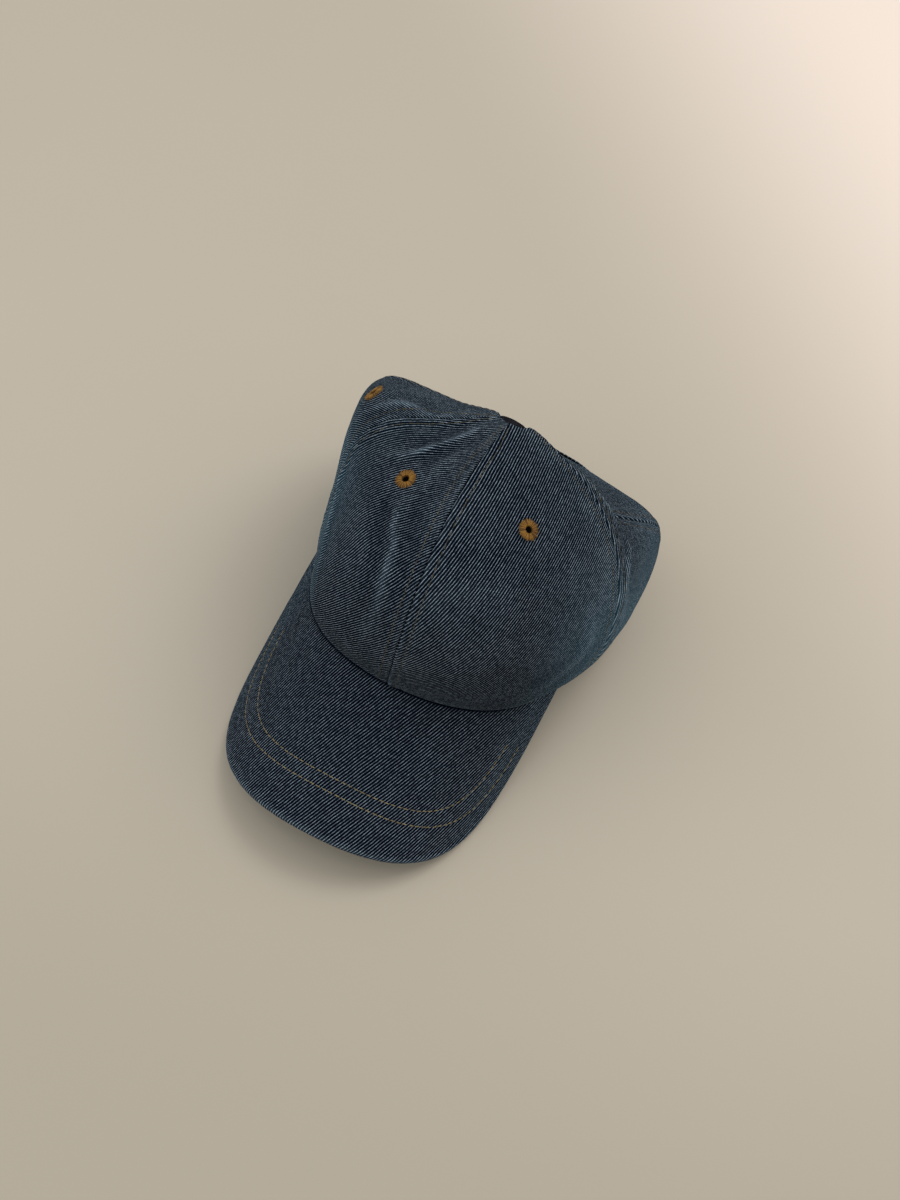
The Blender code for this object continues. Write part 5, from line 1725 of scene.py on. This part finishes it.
    def _box_stitch(self, points: Array, normal: Array, rises: Array, long: Array) -> None:
        """Adds the box of stitches, with its cross, on the tab's sewn end."""
        inset, depth = 2.0 * MM, 11.0 * MM
        top = float(rises[-1]) - inset
        corners = [(-top, inset), (top, inset), (top, depth), (-top, depth), (-top, inset), (top, depth),
                   (top, inset), (-top, depth)]
        sewing = Sewing("stitching_tab", length=2.2 * MM, radius=0.22 * MM, seed=105)
        for start, end in zip(corners, corners[1:]):
            share = np.linspace(0, 1, 30)[:, None]
            line = np.array(start) + (np.array(end) - np.array(start)) * share
            rows = np.interp(line[:, 0], rises, np.arange(len(rises)))
            columns = np.interp(line[:, 1], long, np.arange(len(long)))
            path = [self._on_grid(points, row, column) for row, column in zip(rows, columns)]
            outward = [self._on_grid(normal, row, column) for row, column in zip(rows, columns)]
            sewing.row(np.array(path), np.array(outward), 0.03 * MM)
        declare(sewing.build(self.wardrobe.of(self.wardrobe.ochre)), BODY)

    @staticmethod
    def _on_grid(values: Array, row: float, column: float) -> Array:
        """A value between the points of a grid."""
        r, c = min(int(row), values.shape[0] - 2), min(int(column), values.shape[1] - 2)
        a, b = row - r, column - c
        low = values[r, c] * (1 - b) + values[r, c + 1] * b
        high = values[r + 1, c] * (1 - b) + values[r + 1, c + 1] * b
        return low * (1 - a) + high * a

    def build_metal(self, name: str, body: str) -> None:
        """Makes one brass piece: the part's own solid with softly broken edges."""
        bm = bmesh.new()
        bm.from_mesh(frame["nodes"][name].data)
        bmesh.ops.remove_doubles(bm, verts=bm.verts, dist=WELD)
        bmesh.ops.dissolve_limit(bm, angle_limit=math.radians(1.0), verts=bm.verts, edges=bm.edges)
        sharp = [
            edge for edge in bm.edges
            if len(edge.link_faces) == 2 and edge.calc_face_angle() > math.radians(38)
        ]
        bmesh.ops.bevel(bm, geom=sharp, affect="EDGES", offset=0.18 * MM, segments=2, profile=0.5,
                        material=-1, clamp_overlap=True)
        for face in bm.faces:
            face.smooth = True
        obj = to_object(name, bm, self.wardrobe.of(BrassFinish("antique brass")))
        obj.data.set_sharp_from_angle(angle=math.radians(40))
        declare(obj, body, [name])


METAL = {"clasp_frame": BODY, "clasp_pin": BODY, "clasp_lever": "lever", "button_rivet_plate": BODY}


# ---------------------------------------------------------------- studio
@dataclass
class Studio:
    """The table, the lamps and the camera."""

    form: CapForm
    wardrobe: Wardrobe
    azimuth: float = 12.373
    elevation: float = 54.933
    roll: float = 16.453
    distance: float = 0.7320
    aim: tuple[float, float, float] = (-0.0045, 0.1003, 0.1300)
    aim_right_of_centre: float = 0.02454
    aim_above_centre: float = 0.08101
    lens: float = 50.0
    sensor: float = 36.0

    def view_axes(self) -> tuple[Array, Array, Array]:
        """Right, up and back of the view."""
        a, e, r = (math.radians(v) for v in (self.azimuth, self.elevation, self.roll))
        back = np.array([math.sin(a) * math.cos(e), -math.cos(a) * math.cos(e), math.sin(e)])
        right = np.array([math.cos(a), math.sin(a), 0.0])
        up = np.cross(back, right)
        return math.cos(r) * right + math.sin(r) * up, -math.sin(r) * right + math.cos(r) * up, back

    def build(self) -> None:
        """Sets up the whole studio."""
        self._table()
        self._camera()
        self._lamps()

    def _table(self) -> None:
        """Lays the table top."""
        bm = bmesh.new()
        bmesh.ops.create_grid(bm, x_segments=8, y_segments=8, size=3.0)
        table = to_object("table_top", bm, self.wardrobe.of(TableFinish()))

    def _camera(self) -> None:
        """Places the camera."""
        right, up, back = self.view_axes()
        aim = np.array(self.aim) + np.array(self.form.place)
        place = aim + back * self.distance - right * self.aim_right_of_centre - up * self.aim_above_centre
        data = bpy.data.cameras.new("camera")
        data.lens = self.lens
        data.sensor_width = self.sensor
        data.sensor_fit = "AUTO"
        data.clip_start = 0.01
        camera = bpy.data.objects.new("camera", data)
        bpy.context.scene.collection.objects.link(camera)
        turn = Matrix(np.stack([right, up, back], 1).tolist()).to_4x4()
        camera.matrix_world = Matrix.Translation(Vector(place)) @ turn
        bpy.context.scene.camera = camera

    def _lamps(self) -> None:
        """Hangs a broad soft key and a soft room light."""
        right, up, _ = self.view_axes()
        target = Vector((0.0, 0.0, 0.05))
        key_place = Vector(0.75 * right + 0.45 * up) + Vector((0.0, 0.0, 1.05))
        fill_place = Vector(-0.9 * right - 0.3 * up) + Vector((0.0, 0.0, 1.10))
        self._area("key", key_place, target, 0.95, 9.0, (1.0, 0.965, 0.915))
        self._area("fill", fill_place, target, 1.4, 5.0, (0.93, 0.97, 1.0))
        world = bpy.data.worlds.new("room")
        world.use_nodes = True
        background = world.node_tree.nodes["Background"]
        background.inputs["Color"].default_value = (1.0, 0.985, 0.96, 1.0)
        background.inputs["Strength"].default_value = 0.70
        bpy.context.scene.world = world
        bpy.context.scene.view_settings.view_transform = "Standard"

    @staticmethod
    def _area(name: str, place: Vector, target: Vector, size: float, watts: float,
              colour: tuple[float, float, float]) -> None:
        """Hangs one square soft lamp."""
        data = bpy.data.lights.new(name, "AREA")
        data.shape = "SQUARE"
        data.size = size
        data.energy = watts
        data.color = colour
        lamp = bpy.data.objects.new(name, data)
        bpy.context.scene.collection.objects.link(lamp)
        lamp.location = place
        lamp.rotation_euler = (target - place).to_track_quat("-Z", "Y").to_euler()


def cap_place() -> tuple[float, float, float]:
    """Where the form's own origin lies in the part's frame, from the strap's joint."""
    joint = next(item for item in frame["joints"] if item["name"] == "strap_draw")
    x, y, _ = joint["pos_m"]
    return (float(x), float(y) - CapForm.rear_centre, 0.0)


def main() -> None:
    """Builds the cap and its studio."""
    logging.basicConfig(level=logging.INFO, format="%(message)s")
    form = CapForm(cap_place())
    wardrobe = Wardrobe()
    Crown(form, wardrobe).build()
    Brim(form, wardrobe).build()
    Back(form, wardrobe).build()
    Studio(form, wardrobe).build()


if __name__ == "__main__":
    main()
